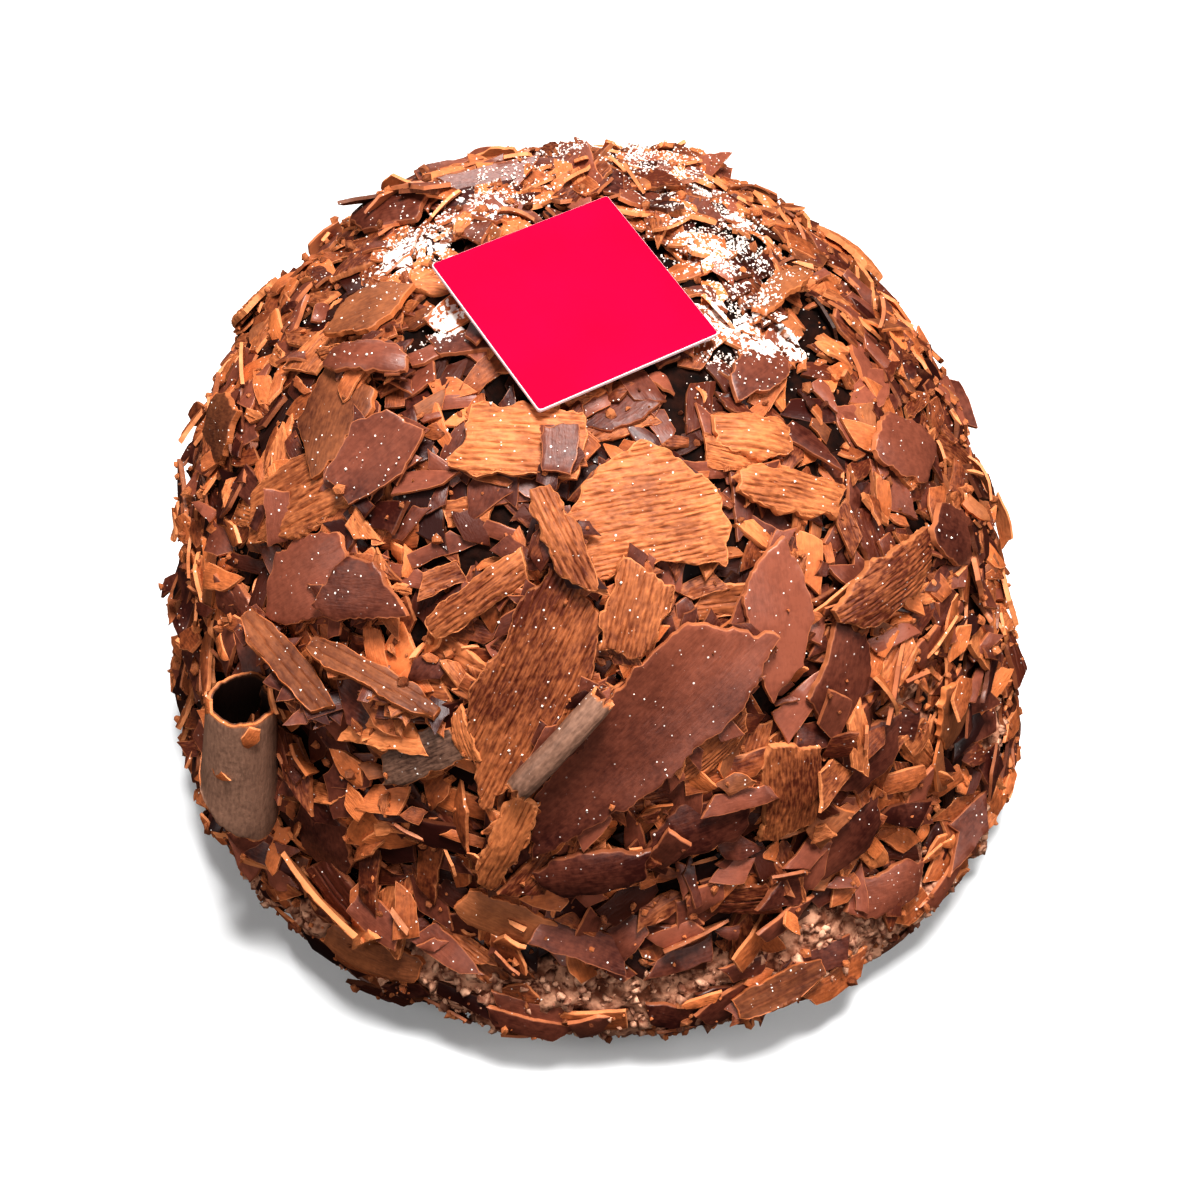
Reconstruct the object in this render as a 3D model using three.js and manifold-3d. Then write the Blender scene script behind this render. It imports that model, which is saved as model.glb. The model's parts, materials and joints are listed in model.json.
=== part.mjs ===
// Merveilleux cake: a tall dome of meringue and cream under a heap of chocolate shavings,
// with a small square card resting on its crown.
// Millimetres, +Z up, the origin in the middle of the flat underside, the front towards -Y.

import * as THREE from 'three';
import { mergeVertices } from 'three/addons/utils/BufferGeometryUtils.js';
import Module from 'manifold-3d';

// ---------- driving dimensions ----------

const coreRadius = 74.5; // the dome without its loose shavings, above the bulge at its foot
const coreHeight = 117.4;
const domeFullness = 3.3; // 2 would be an ellipse, more is fuller in the shoulder
const crownLean = -6.9; // how far the crown stands off the middle, along X
const footBulge = { size: 5, height: 15, spread: 13 };
const footTuck = { size: 7.5, spread: 6 };
const coreRings = 17;
const coreSpokes = 44;
const coreChipDepth = 1.4; // the core's facets are chips of about 10 mm, this deep, less at the crown

const cardSide = 32;
const cardThickness = 0.7;
const cardCentre = [-5.2, -14.9, 116.7];
const cardTurn = 32.6; // degrees about its own normal
const cardTilt = { angle: 9.9, towards: -61.1 }; // degrees, the direction that its normal leans to

const shavingThickness = 1.2;
const coilRise = 1.8; // how much further out a coil lies after a full turn
const fittingGap = 0.35; // between two pieces that lie on each other
const liftStep = 0.5; // a shaving rises by this until it lies clear of those under it

const backShavings = { count: 10, length: [14, 22], width: [7, 12], climb: [24, 82] };
const fusedShavings = [
  { places: 150, length: [9, 15], width: [5, 9] },
  { places: 235, length: [5, 8], width: [3.5, 5.5] },
];
const tries = 4; // draws at each place before it stays bare

// Colours of the chocolate, of the card and of the coat under the shavings.
const looks = {
  smooth: { color: 0x6e3a34, roughness: 0.45 },
  grooved: { color: 0xb06a3a, roughness: 0.75 },
  pale: { color: 0xa87a5c, roughness: 0.7 },
  coat: { color: 0x7a4326, roughness: 0.8 },
  card: { color: 0xf8164e, roughness: 0.35 },
};

// The large shavings, each by the place of its middle on the dome: azimuth in degrees from the
// front, positive to the right, and climb in percent of the way from the foot to the crown.
// Spin turns its length from level towards the crown. Head and tail are the widths of its two ends
// as shares of its width, reached the later the larger its shoulder is. Arch is how far its ends
// drop and cup how far its long edges drop. A coil is rolled up round its length.
const largeShavings = [
  { name: 'curl', look: 'pale', azimuth: -46, climb: 36.5, spin: 87.5, length: 27, width: 36, head: 0.6,
    tail: 1, headSkew: 5, tailSkew: 0, arch: 0, coil: { radius: 5.2, turn: 385, flare: 1.2 }, lift: 5.6,
    pitch: 2 },
  { name: 'broad_dark', look: 'smooth', azimuth: 7, climb: 49.5, spin: 43, length: 42, width: 15, head: 0.6,
    tail: 0.75, headSkew: 4, tailSkew: -4, arch: 2, cup: -0.8, lift: 2.2 },
  { name: 'broad_grooved', look: 'grooved', azimuth: -6.5, climb: 53.8, spin: 66, length: 33, width: 13.5,
    head: 0.45, tail: 0.85, headSkew: 3, tailSkew: 3, arch: 1.6, cup: -0.5, lift: 2.4 },
  { name: 'fan', look: 'grooved', azimuth: 13, climb: 69.5, spin: 97, length: 16.5, width: 23, head: 0.95,
    tail: 0.25, headSkew: 2, tailSkew: -1, shoulder: 1.4, arch: 0.5, cup: 0.8, lift: 2.2 },
  { name: 'oblong', look: 'grooved', azimuth: -10, climb: 76, spin: 3, length: 17, width: 11, head: 0.9,
    tail: 0.85, headSkew: 1, tailSkew: 0, arch: 0.5, cup: 0.3, lift: 1.9 },
  { name: 'oblong_chip', look: 'smooth', azimuth: -1.4, climb: 75, spin: 87, length: 7, width: 5, head: 0.9,
    tail: 0.9, headSkew: 0, tailSkew: 0, arch: 0, cup: 0, lift: 3.2 },
  { name: 'thin_roll', look: 'pale', azimuth: -2, climb: 50, spin: 51, length: 20, width: 10, head: 0.9,
    tail: 0.8, headSkew: 0, tailSkew: 0, arch: 0.8, coil: { radius: 1.5, turn: 300 }, lift: 3.2 },
  { name: 'tan_left', look: 'pale', azimuth: -50, climb: 63, spin: 54, length: 20.5, width: 11, head: 0.7,
    tail: 0.75, headSkew: 1, tailSkew: 2, arch: 0.8, cup: 0.6, lift: 2 },
  { name: 'oval', look: 'smooth', azimuth: -38.5, climb: 70.5, spin: 74, length: 14, width: 9.5, head: 0.6,
    tail: 0.65, headSkew: 0, tailSkew: -1, arch: 0.4, cup: -0.5, lift: 2.1, roll: 10 },
  { name: 'oval_back', look: 'pale', azimuth: -52, climb: 71.5, spin: 97, length: 14, width: 11, head: 0.7,
    tail: 0.8, headSkew: 2, tailSkew: 1, arch: 0.5, cup: 0.4, lift: 1.4 },
  { name: 'mauve_left', look: 'smooth', azimuth: -43, climb: 57, spin: 46, length: 16.5, width: 12, head: 0.6,
    tail: 0.7, headSkew: 2, tailSkew: 1, arch: 0.5, cup: 0.5, lift: 1.6 },
  { name: 'dark_left', look: 'smooth', azimuth: -32.5, climb: 59, spin: 23, length: 12.5, width: 9, head: 0.5,
    tail: 0.7, headSkew: 1, tailSkew: -2, arch: 0.3, cup: 0.4, lift: 1.6 },
  { name: 'milk_top_left', look: 'pale', azimuth: -71, climb: 80, spin: 64, length: 11, width: 10, head: 0.7,
    tail: 0.6, headSkew: 1, tailSkew: 1, arch: 0.3, cup: 0.3, lift: 1.8, roll: -8 },
  { name: 'bent_strip', look: 'smooth', azimuth: -52, climb: 77, spin: 33, length: 14, width: 5, head: 0.5,
    tail: 0.5, headSkew: 0, tailSkew: 0, arch: 1.6, cup: 0.4, lift: 2.8 },
  { name: 'mauve_right', look: 'smooth', azimuth: 29.7, climb: 57, spin: 85, length: 19, width: 10, head: 0.6,
    tail: 0.75, headSkew: -2, tailSkew: -2, arch: 0.7, cup: -0.4, lift: 2.2 },
  { name: 'purple_right', look: 'smooth', azimuth: 37, climb: 48.5, spin: 57, length: 15, width: 10, head: 0.7,
    tail: 0.7, headSkew: 2, tailSkew: 2, arch: 0.5, cup: 0.4, lift: 1.8 },
  { name: 'tan_right', look: 'grooved', azimuth: 47.5, climb: 54.7, spin: -4, length: 22.5, width: 9, head: 0.3,
    tail: 0.6, headSkew: 0, tailSkew: 1, arch: 1.3, cup: 0.5, lift: 2.2 },
  { name: 'grooved_right', look: 'grooved', azimuth: 26.7, climb: 39, spin: 83, length: 16.5, width: 10.5,
    head: 0.85, tail: 0.9, headSkew: 0, tailSkew: 1, arch: 0.6, cup: 0.7, lift: 2 },
  { name: 'dark_low', look: 'smooth', azimuth: 14, climb: 38, spin: 10, length: 17, width: 8.5, head: 0.5,
    tail: 0.6, headSkew: 1, tailSkew: 1, arch: 0.8, cup: 0.5, lift: 1.9, roll: -12 },
  { name: 'dark_low_middle', look: 'smooth', azimuth: 0.5, climb: 35, spin: 10, length: 17, width: 7.5,
    head: 0.4, tail: 0.6, headSkew: 0, tailSkew: 1, arch: 0.8, cup: 0.5, lift: 1.8, roll: -8 },
  { name: 'grooved_strip', look: 'grooved', azimuth: -9.5, climb: 38.5, spin: 71, length: 19, width: 5.5,
    head: 0.5, tail: 0.8, headSkew: 0, tailSkew: 0, arch: 0.7, cup: 0.6, lift: 2.2 },
  { name: 'foot_tan', look: 'pale', azimuth: -10.5, climb: 26, spin: -18, length: 16, width: 6.5, head: 0.7,
    tail: 0.8, headSkew: 1, tailSkew: 1, arch: 0.7, cup: 0.3, lift: 2, roll: -15 },
  { name: 'thick_grooved', look: 'grooved', azimuth: -14.5, climb: 61.5, spin: 46, length: 17, width: 5,
    head: 0.6, tail: 0.8, headSkew: 0, tailSkew: 1, arch: 0.5, cup: 0.6, lift: 2.2 },
  { name: 'upright_grooved', look: 'grooved', azimuth: 9, climb: 61, spin: 68, length: 12.5, width: 8.5,
    head: 0.8, tail: 0.9, headSkew: 0, tailSkew: 1, arch: 0.3, cup: 0.4, lift: 1.4 },
  { name: 'edge_strip_left', look: 'pale', azimuth: -41, climb: 49.5, spin: -17, length: 20.5, width: 5,
    head: 0.5, tail: 0.7, headSkew: 0, tailSkew: 1, arch: 1, cup: 0, lift: 3, roll: -52 },
  { name: 'edge_strip_middle', look: 'pale', azimuth: -28, climb: 52, spin: -7, length: 23.5, width: 4.5,
    head: 0.6, tail: 0.5, headSkew: 0, tailSkew: 0, arch: 1.3, cup: 0, lift: 3, roll: -48 },
  { name: 'grey_wedge', look: 'pale', azimuth: -21, climb: 45, spin: 39, length: 14.5, width: 6.5, head: 0.6,
    tail: 0.7, headSkew: 1, tailSkew: 0, arch: 0.5, cup: 0.3, lift: 2, roll: -14 },
  { name: 'far_left', look: 'pale', azimuth: -79, climb: 58, spin: 30, length: 13, width: 10, head: 0.6,
    tail: 0.7, headSkew: 1, tailSkew: 1, arch: 0.5, cup: 0.4, lift: 1.8, roll: 10 },
  { name: 'dark_far_right', look: 'smooth', azimuth: 68, climb: 61, spin: -58, length: 14, width: 10,
    head: 0.6, tail: 0.7, headSkew: 1, tailSkew: 1, arch: 0.5, cup: 0.5, lift: 1.7 },
  { name: 'wavy_right', look: 'grooved', azimuth: 41, climb: 72.5, spin: -35, length: 12.5, width: 6.5,
    head: 0.6, tail: 0.6, headSkew: 0, tailSkew: 0, arch: 0.6, cup: 0.9, lift: 1.9 },
  { name: 'ragged_right', look: 'grooved', azimuth: 41, climb: 66.5, spin: -38, length: 17, width: 6,
    head: 0.5, tail: 0.7, headSkew: 0, tailSkew: 1, arch: 0.7, cup: 0.6, lift: 1.9 },
  { name: 'rimmed_low', look: 'smooth', azimuth: 33.5, climb: 29, spin: 28, length: 15.5, width: 8.5,
    head: 0.5, tail: 0.6, headSkew: 0, tailSkew: 1, arch: 0.6, cup: 0.6, lift: 1.9, roll: -14 },
  { name: 'purple_low', look: 'smooth', azimuth: 39, climb: 19, spin: -21, length: 16, width: 7.5, head: 0.6,
    tail: 0.7, headSkew: 1, tailSkew: 1, arch: 0.8, cup: 0.4, lift: 1.8, roll: -14 },
  { name: 'edge_foot', look: 'pale', azimuth: 21.5, climb: 14.5, spin: 10, length: 16.5, width: 5, head: 0.7,
    tail: 0.5, headSkew: 0, tailSkew: 0, arch: 0.7, cup: 0, lift: 2.8, roll: -38 },
  { name: 'smooth_foot', look: 'pale', azimuth: -29, climb: 15.5, spin: 3, length: 18, width: 6.5, head: 0.7,
    tail: 0.5, headSkew: 1, tailSkew: 1, arch: 1, cup: 0.4, lift: 1.8, roll: -10 },
  { name: 'ragged_middle', look: 'grooved', azimuth: 17, climb: 47, spin: 33, length: 13, width: 6.5,
    head: 0.4, tail: 0.8, headSkew: 1, tailSkew: 1, arch: 0.5, cup: 0.6, lift: 1.7 },
  { name: 'upper_strip', look: 'pale', azimuth: 82, climb: 79, spin: -24, length: 15, width: 4.5, head: 0.5,
    tail: 0.7, headSkew: 0, tailSkew: 0, arch: 0.6, cup: 0.3, lift: 2.2, roll: -25 },
  { name: 'sugared_dark', look: 'smooth', azimuth: 52, climb: 77, spin: -3, length: 10.5, width: 6.5,
    head: 0.6, tail: 0.7, headSkew: 1, tailSkew: 0, arch: 0.3, cup: 0.3, lift: 1.9 },
  { name: 'slant_grooved', look: 'grooved', azimuth: -1, climb: 67.5, spin: -63, length: 15, width: 5,
    head: 0.7, tail: 0.6, headSkew: 0, tailSkew: 1, arch: 0.5, cup: 0.5, lift: 2 },
  { name: 'red_plate', look: 'smooth', azimuth: 39, climb: 38.5, spin: 3, length: 12, width: 9, head: 0.6,
    tail: 0.6, headSkew: 1, tailSkew: 1, arch: 0.4, cup: 0.4, lift: 1.7, roll: -12 },
  { name: 'tan_far_right', look: 'pale', azimuth: 56, climb: 33.5, spin: 84, length: 12.5, width: 9,
    head: 0.5, tail: 0.6, headSkew: 0, tailSkew: 1, arch: 0.4, cup: 0.5, lift: 1.7 },
  { name: 'purple_far_right', look: 'smooth', azimuth: 68, climb: 50, spin: -60, length: 14, width: 9,
    head: 0.6, tail: 0.7, headSkew: 1, tailSkew: 0, arch: 0.6, cup: 0.4, lift: 1.7 },
  { name: 'red_left', look: 'smooth', azimuth: -36.5, climb: 28, spin: 85, length: 13.5, width: 11, head: 0.7,
    tail: 0.7, headSkew: 1, tailSkew: 1, arch: 0.4, cup: 0.4, lift: 1.7 },
  { name: 'crown_back', look: 'pale', azimuth: 162, climb: 90, spin: 158, length: 12.5, width: 8.5, head: 0.6,
    tail: 0.7, headSkew: 1, tailSkew: 1, arch: 0.3, cup: 0.3, lift: 2, roll: 16 },
];

// ---------- seeded draws ----------

// A small generator, so that every run draws the same shavings.
function makeDraw(seed) {
  const modulus = 2147483647;
  let state = seed;
  const next = () => {
    state = (state * 16807) % modulus;
    return state / modulus;
  };
  return (from = 0, to = 1) => from + (to - from) * next();
}

// ---------- the dome ----------

const radians = THREE.MathUtils.degToRad;

// Radius of the bare dome at a height.
function domeRadius(height) {
  const share = Math.min(1, height / coreHeight);
  const dome = coreRadius * Math.sqrt(1 - share ** domeFullness);
  const bulge = footBulge.size * Math.exp(-(((height - footBulge.height) / footBulge.spread) ** 2));
  const tuck = footTuck.size * Math.exp(-((height / footTuck.spread) ** 2));
  return Math.max(0, dome + bulge - tuck);
}

// The dome's outline as [radius, height, distance from the foot], close enough to read between.
const outlineSteps = 600;
const outline = [];
for (let step = 0; step <= outlineSteps; step++) {
  const height = coreHeight * Math.sin((step / outlineSteps) * (Math.PI / 2)) ** (2 / domeFullness);
  const radius = step === outlineSteps ? 0 : domeRadius(height);
  const last = outline[step - 1];
  const way = last ? last[2] + Math.hypot(radius - last[0], height - last[1]) : 0;
  outline.push([radius, height, way]);
}

// Radius and height at a climb, in percent of the way from the foot to the crown.
function outlineAt(climb) {
  const way = THREE.MathUtils.clamp(climb / 100, 0, 1) * outline[outlineSteps][2];
  const after = Math.max(1, outline.findIndex((point) => point[2] >= way));
  const [from, to] = [outline[after - 1], outline[after]];
  const share = (way - from[2]) / (to[2] - from[2]);
  return [from[0] + share * (to[0] - from[0]), from[1] + share * (to[1] - from[1])];
}

// A place on the dome: the point, the outward normal, the level direction and the way up.
function domePlace(azimuth, climb) {
  const probe = 0.2;
  const [radius, height] = outlineAt(climb);
  const [radiusBelow, heightBelow] = outlineAt(climb - probe);
  const [radiusAbove, heightAbove] = outlineAt(climb + probe);
  const slope = Math.atan2(heightAbove - heightBelow, radiusBelow - radiusAbove);
  const angle = radians(azimuth);
  const outward = new THREE.Vector3(Math.sin(angle), -Math.cos(angle), 0);
  const level = new THREE.Vector3(Math.cos(angle), Math.sin(angle), 0);
  const normal = outward.clone().multiplyScalar(Math.sin(slope));
  normal.z = Math.cos(slope);
  const point = outward.clone().multiplyScalar(radius);
  point.x += (crownLean * height) / coreHeight;
  point.z = height;
  return { point, normal, level, rise: normal.clone().cross(level) };
}

// ---------- shavings ----------

const edgeKnots = 7;

// How the edges of a shaving wander: shares of its half width at knots along both sides,
// and shares of its length at knots across both ends.
function drawEdges(seed, raggedness) {
  const draw = makeDraw(seed);
  const knots = () => Array.from({ length: edgeKnots }, () => draw(-raggedness, raggedness));
  return { left: knots(), right: knots(), head: knots(), tail: knots() };
}

function readKnots(knots, share) {
  const place = THREE.MathUtils.clamp(share, 0, 1) * (edgeKnots - 1);
  const before = Math.min(edgeKnots - 2, Math.floor(place));
  return knots[before] + (place - before) * (knots[before + 1] - knots[before]);
}

// A point of a shaving about its own middle. Along and across run from -1 to 1,
// side is -1 on its under face and 1 on its upper one, and grow makes it larger all round.
function shavingPoint(shaving, along, across, side, grow) {
  const { length, width, edges } = shaving;
  const atHead = along < 0;
  const end = along * along;
  const shoulder = Math.abs(along) ** (shaving.shoulder ?? 3);
  const taper = 1 - (1 - (atHead ? shaving.head : shaving.tail)) * shoulder;
  const wander = readKnots(across < 0 ? edges.left : edges.right, (along + 1) / 2);
  const endWander = readKnots(atHead ? edges.head : edges.tail, (across + 1) / 2);
  const skew = atHead ? shaving.headSkew : shaving.tailSkew;
  const x = along * (length / 2 + grow) + (skew * across + 0.3 * endWander * width) * end;
  const half = (width / 2) * taper * (1 + wander) + grow;
  const depth = side * (shavingThickness / 2 + grow);
  const drop = -shaving.arch * end;
  if (shaving.coil) {
    const turned = (across * taper * (1 + wander) * shaving.coil.turn) / 2;
    const flare = ((shaving.coil.flare ?? 0) * (1 - along)) / 2;
    const reach = shaving.coil.radius + flare + (coilRise * turned) / 360 + depth;
    return new THREE.Vector3(x, reach * Math.sin(radians(turned)), reach * Math.cos(radians(turned)) + drop);
  }
  return new THREE.Vector3(x, across * half, depth + drop - shaving.cup * across * across);
}

// The closed solid of a shaving: two faces of grid points and the rim between them.
function shavingGeometry(shaving, grow = 0) {
  const { lengthCells, widthCells } = shaving;
  const row = widthCells + 1;
  const faceSize = (lengthCells + 1) * row;
  const positions = [];
  for (const side of [-1, 1]) {
    for (let i = 0; i <= lengthCells; i++) {
      for (let j = 0; j <= widthCells; j++) {
        const point = shavingPoint(shaving, (2 * i) / lengthCells - 1, (2 * j) / widthCells - 1, side, grow);
        positions.push(point.x, point.y, point.z);
      }
    }
  }
  const index = [];
  for (let i = 0; i < lengthCells; i++) {
    for (let j = 0; j < widthCells; j++) {
      const a = i * row + j;
      const [b, c, d] = [a + row, a + row + 1, a + 1];
      index.push(a, c, b, a, d, c);
      index.push(...[a, b, c, a, c, d].map((corner) => corner + faceSize));
    }
  }
  const rim = [];
  for (let i = 0; i < lengthCells; i++) rim.push(i * row);
  for (let j = 0; j < widthCells; j++) rim.push(lengthCells * row + j);
  for (let i = lengthCells; i > 0; i--) rim.push(i * row + widthCells);
  for (let j = widthCells; j > 0; j--) rim.push(j);
  rim.forEach((from, k) => {
    const to = rim[(k + 1) % rim.length];
    index.push(from, to, to + faceSize, from, to + faceSize, from + faceSize);
  });
  const geometry = new THREE.BufferGeometry();
  geometry.setAttribute('position', new THREE.Float32BufferAttribute(positions, 3));
  geometry.setIndex(index);
  return geometry;
}

// The room that a shaving takes up in what it lies on. A coil takes up its hollow as well.
function roomGeometry(shaving) {
  if (!shaving.coil) return shavingGeometry(shaving, fittingGap);
  const { radius, turn, flare = 0 } = shaving.coil;
  const outside = radius + flare + (coilRise * turn) / 720 + shavingThickness / 2 + fittingGap;
  const from = -shaving.length / 2 - Math.abs(shaving.headSkew) - fittingGap;
  const to = shaving.length / 2 + Math.abs(shaving.tailSkew) + fittingGap;
  const bar = new THREE.CylinderGeometry(outside, outside, to - from, shaving.widthCells + 3);
  return bar.rotateZ(Math.PI / 2).translate((from + to) / 2, 0, 0);
}

// Where a shaving lies: its middle at a lift over the dome, turned by spin, pitch and roll.
function shavingMatrix(shaving, lift) {
  const { point, normal, level, rise } = domePlace(shaving.azimuth, shaving.climb);
  const place = new THREE.Matrix4().makeBasis(level, rise, normal);
  place.setPosition(point.clone().addScaledVector(normal, lift));
  const turn = new THREE.Euler(radians(shaving.roll ?? 0), radians(-(shaving.pitch ?? 0)), radians(shaving.spin), 'ZYX');
  return place.multiply(new THREE.Matrix4().makeRotationFromEuler(turn));
}

// ---------- solids ----------

const wasm = await Module();
wasm.setup();

// A closed geometry as a solid that can be joined and cut.
function toSolid(geometry, matrix = new THREE.Matrix4()) {
  const bare = geometry.clone().applyMatrix4(matrix);
  bare.deleteAttribute('normal');
  bare.deleteAttribute('uv');
  const merged = mergeVertices(bare, 1e-4);
  const corners = merged.index.array;
  const triVerts = [];
  for (let k = 0; k < corners.length; k += 3) {
    const [a, b, c] = [corners[k], corners[k + 1], corners[k + 2]];
    if (a !== b && b !== c && c !== a) triVerts.push(a, b, c);
  }
  return new wasm.Manifold(new wasm.Mesh({
    numProp: 3,
    vertProperties: new Float32Array(merged.attributes.position.array),
    triVerts: new Uint32Array(triVerts),
  }));
}

function toGeometry(solid) {
  const { vertProperties, triVerts } = solid.getMesh();
  const geometry = new THREE.BufferGeometry();
  geometry.setAttribute('position', new THREE.BufferAttribute(new Float32Array(vertProperties), 3));
  geometry.setIndex(new THREE.BufferAttribute(new Uint32Array(triVerts), 1));
  geometry.computeVertexNormals();
  return geometry;
}

// ---------- the card ----------

function cardMatrix() {
  const lean = new THREE.Vector3(Math.cos(radians(cardTilt.towards)), Math.sin(radians(cardTilt.towards)), 0);
  const normal = new THREE.Vector3(0, 0, 1).lerp(lean, Math.sin(radians(cardTilt.angle))).normalize();
  const tilt = new THREE.Quaternion().setFromUnitVectors(new THREE.Vector3(0, 0, 1), normal);
  const turn = new THREE.Quaternion().setFromAxisAngle(new THREE.Vector3(0, 0, 1), radians(cardTurn));
  return new THREE.Matrix4().compose(new THREE.Vector3(...cardCentre), tilt.multiply(turn), new THREE.Vector3(1, 1, 1));
}

function cardGeometry(grow = 0) {
  return new THREE.BoxGeometry(cardSide + 2 * grow, cardSide + 2 * grow, cardThickness + 2 * grow);
}

// ---------- the pieces that lie on the cake ----------

// Large shavings on the sides and back that the hand-placed ones leave bare.
function drawBackShavings() {
  const draw = makeDraw(4177);
  const { count, length, width, climb } = backShavings;
  const kinds = ['smooth', 'grooved', 'smooth', 'pale'];
  return Array.from({ length: count }, (_, k) => ({
    name: `back_${String(k + 1).padStart(2, '0')}`,
    look: kinds[k % kinds.length],
    azimuth: 98 + (164 * (k + 0.5)) / count + draw(-7, 7),
    climb: climb[0] + (climb[1] - climb[0]) * ((k * 0.618) % 1),
    spin: draw(0, 180),
    length: draw(...length),
    width: draw(...width),
    head: draw(0.45, 0.9),
    tail: draw(0.5, 0.9),
    headSkew: draw(-2, 2),
    tailSkew: draw(-2, 2),
    arch: draw(0.6, 1.2),
    cup: draw(-0.2, 0.8),
    lift: 2,
    roll: draw(-12, 12),
  }));
}

// Lays one shaving on those before it: it rises until it is clear of them.
function layShaving(shaving, number, laid) {
  const cells = shaving.coil
    ? { lengthCells: 5, widthCells: shaving.coil.turn > 360 ? 20 : 9 }
    : { lengthCells: 5, widthCells: 2 };
  const whole = { ...shaving, ...cells, edges: drawEdges(100 + 37 * number, shaving.coil ? 0.03 : 0.15) };
  const geometry = shavingGeometry(whole);
  const roomy = roomGeometry(whole);
  let lift = shaving.lift;
  let matrix = shavingMatrix(whole, lift);
  while (laid.some((other) => !other.solid.intersect(toSolid(roomy, matrix)).isEmpty())) {
    lift += liftStep;
    matrix = shavingMatrix(whole, lift);
  }
  return { shaving: whole, geometry, matrix, solid: toSolid(geometry, matrix), room: toSolid(roomy, matrix) };
}

function makeMesh(name, geometry, look, matrix) {
  const mesh = new THREE.Mesh(geometry, new THREE.MeshStandardMaterial({ ...looks[look], metalness: 0 }));
  mesh.name = name;
  if (matrix) matrix.decompose(mesh.position, mesh.quaternion, mesh.scale);
  return mesh;
}

// ---------- the body ----------

// The bare dome, its facets pushed in and out as chips.
function coreSolid() {
  const draw = makeDraw(91);
  const profile = [new THREE.Vector2(0, 0)];
  for (let ring = 0; ring < coreRings; ring++) {
    profile.push(new THREE.Vector2(...outlineAt((100 * ring) / coreRings)));
  }
  profile.push(new THREE.Vector2(0, coreHeight));
  const geometry = new THREE.LatheGeometry(profile, coreSpokes);
  geometry.rotateX(Math.PI / 2);
  geometry.deleteAttribute('normal');
  geometry.deleteAttribute('uv');
  const dome = mergeVertices(geometry, 1e-3);
  const position = dome.attributes.position;
  for (let k = 0; k < position.count; k++) {
    const [x, y, z] = [position.getX(k), position.getY(k), position.getZ(k)];
    const out = new THREE.Vector3(x, y, Math.max(0, z - coreHeight / 2)).normalize();
    const depth = coreChipDepth * Math.min(1, Math.hypot(x, y) / (0.6 * coreRadius));
    out.multiplyScalar(z > 0.5 ? draw(-depth, depth) : 0);
    position.setXYZ(k, x + out.x + (crownLean * z) / coreHeight, y + out.y, z + out.z);
  }
  return toSolid(dome);
}

// One draw of a shaving that is fused to the core, near a place on the dome.
function drawFusedShaving(draw, { length, width }, azimuth, climb) {
  return {
    azimuth: azimuth + draw(-5, 5),
    climb: climb + draw(-3, 3),
    spin: draw(0, 360),
    length: draw(...length),
    width: draw(...width),
    head: draw(0.4, 1),
    tail: draw(0.4, 1),
    headSkew: draw(-1.5, 1.5),
    tailSkew: draw(-1.5, 1.5),
    arch: draw(-0.4, 0.8),
    cup: 0,
    roll: draw(-32, 32),
    pitch: draw(-16, 16),
    edges: drawEdges(Math.floor(draw(1, 1e6)), 0.1),
    lengthCells: 2,
    widthCells: 1,
  };
}

// The climb below which a share of the dome's surface lies.
function climbOfArea(share) {
  const steps = 100;
  const ring = (step) => outlineAt((100 * (step + 0.5)) / steps)[0];
  const total = Array.from({ length: steps }, (_, step) => ring(step)).reduce((sum, radius) => sum + radius);
  let covered = 0;
  let step = 0;
  while (covered < share * total) covered += ring(step++);
  return (100 * step) / steps;
}

// Shavings of middle and small size at places spread evenly over the dome, the larger ones first.
// One that would cross another or a large piece, or reach the ground, is drawn again or left out.
function fusedSolids(pieces) {
  const draw = makeDraw(2029);
  const goldenAngle = 137.508;
  const kept = [];
  for (const kind of fusedShavings) {
    for (let place = 0; place < kind.places; place++) {
      const climb = climbOfArea((place + 0.5) / kind.places);
      for (let attempt = 0; attempt < tries; attempt++) {
        const shaving = drawFusedShaving(draw, kind, place * goldenAngle, climb);
        const solid = toSolid(shavingGeometry(shaving), shavingMatrix(shaving, 1.5));
        if (solid.boundingBox().min[2] < 1) continue;
        if ([...kept, ...pieces].some((other) => !other.intersect(solid).isEmpty())) continue;
        kept.push(solid);
        break;
      }
    }
  }
  return kept;
}

// The cake's body: core and fused shavings, with room cut for every piece that lies on it.
function bodySolid(rooms) {
  let body = coreSolid();
  for (const shaving of fusedSolids(rooms)) body = body.add(shaving);
  for (const room of rooms) body = body.subtract(room);
  const parts = body.decompose();
  return parts.reduce((largest, part) => (part.volume() > largest.volume() ? part : largest));
}

// ---------- the cake ----------

const cake = new THREE.Group();
const card = { geometry: cardGeometry(), matrix: cardMatrix() };
card.solid = toSolid(card.geometry, card.matrix);
card.room = toSolid(cardGeometry(fittingGap), card.matrix);

const laid = [card];
[...largeShavings, ...drawBackShavings()].forEach((shaving, number) => {
  laid.push(layShaving(shaving, number, laid));
});

cake.add(makeMesh('cake_body', toGeometry(bodySolid(laid.map((piece) => piece.room))), 'coat'));
cake.add(makeMesh('card', card.geometry, 'card', card.matrix));
for (const { shaving, geometry, matrix } of laid.slice(1)) {
  cake.add(makeMesh(`shaving_${shaving.name}`, geometry, shaving.look, matrix));
}

export default cake;
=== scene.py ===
import json
import math
import bpy
import numpy as np
from mathutils import Matrix, Vector
from mathutils.bvhtree import BVHTree
from mathutils.geometry import delaunay_2d_cdt

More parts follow.
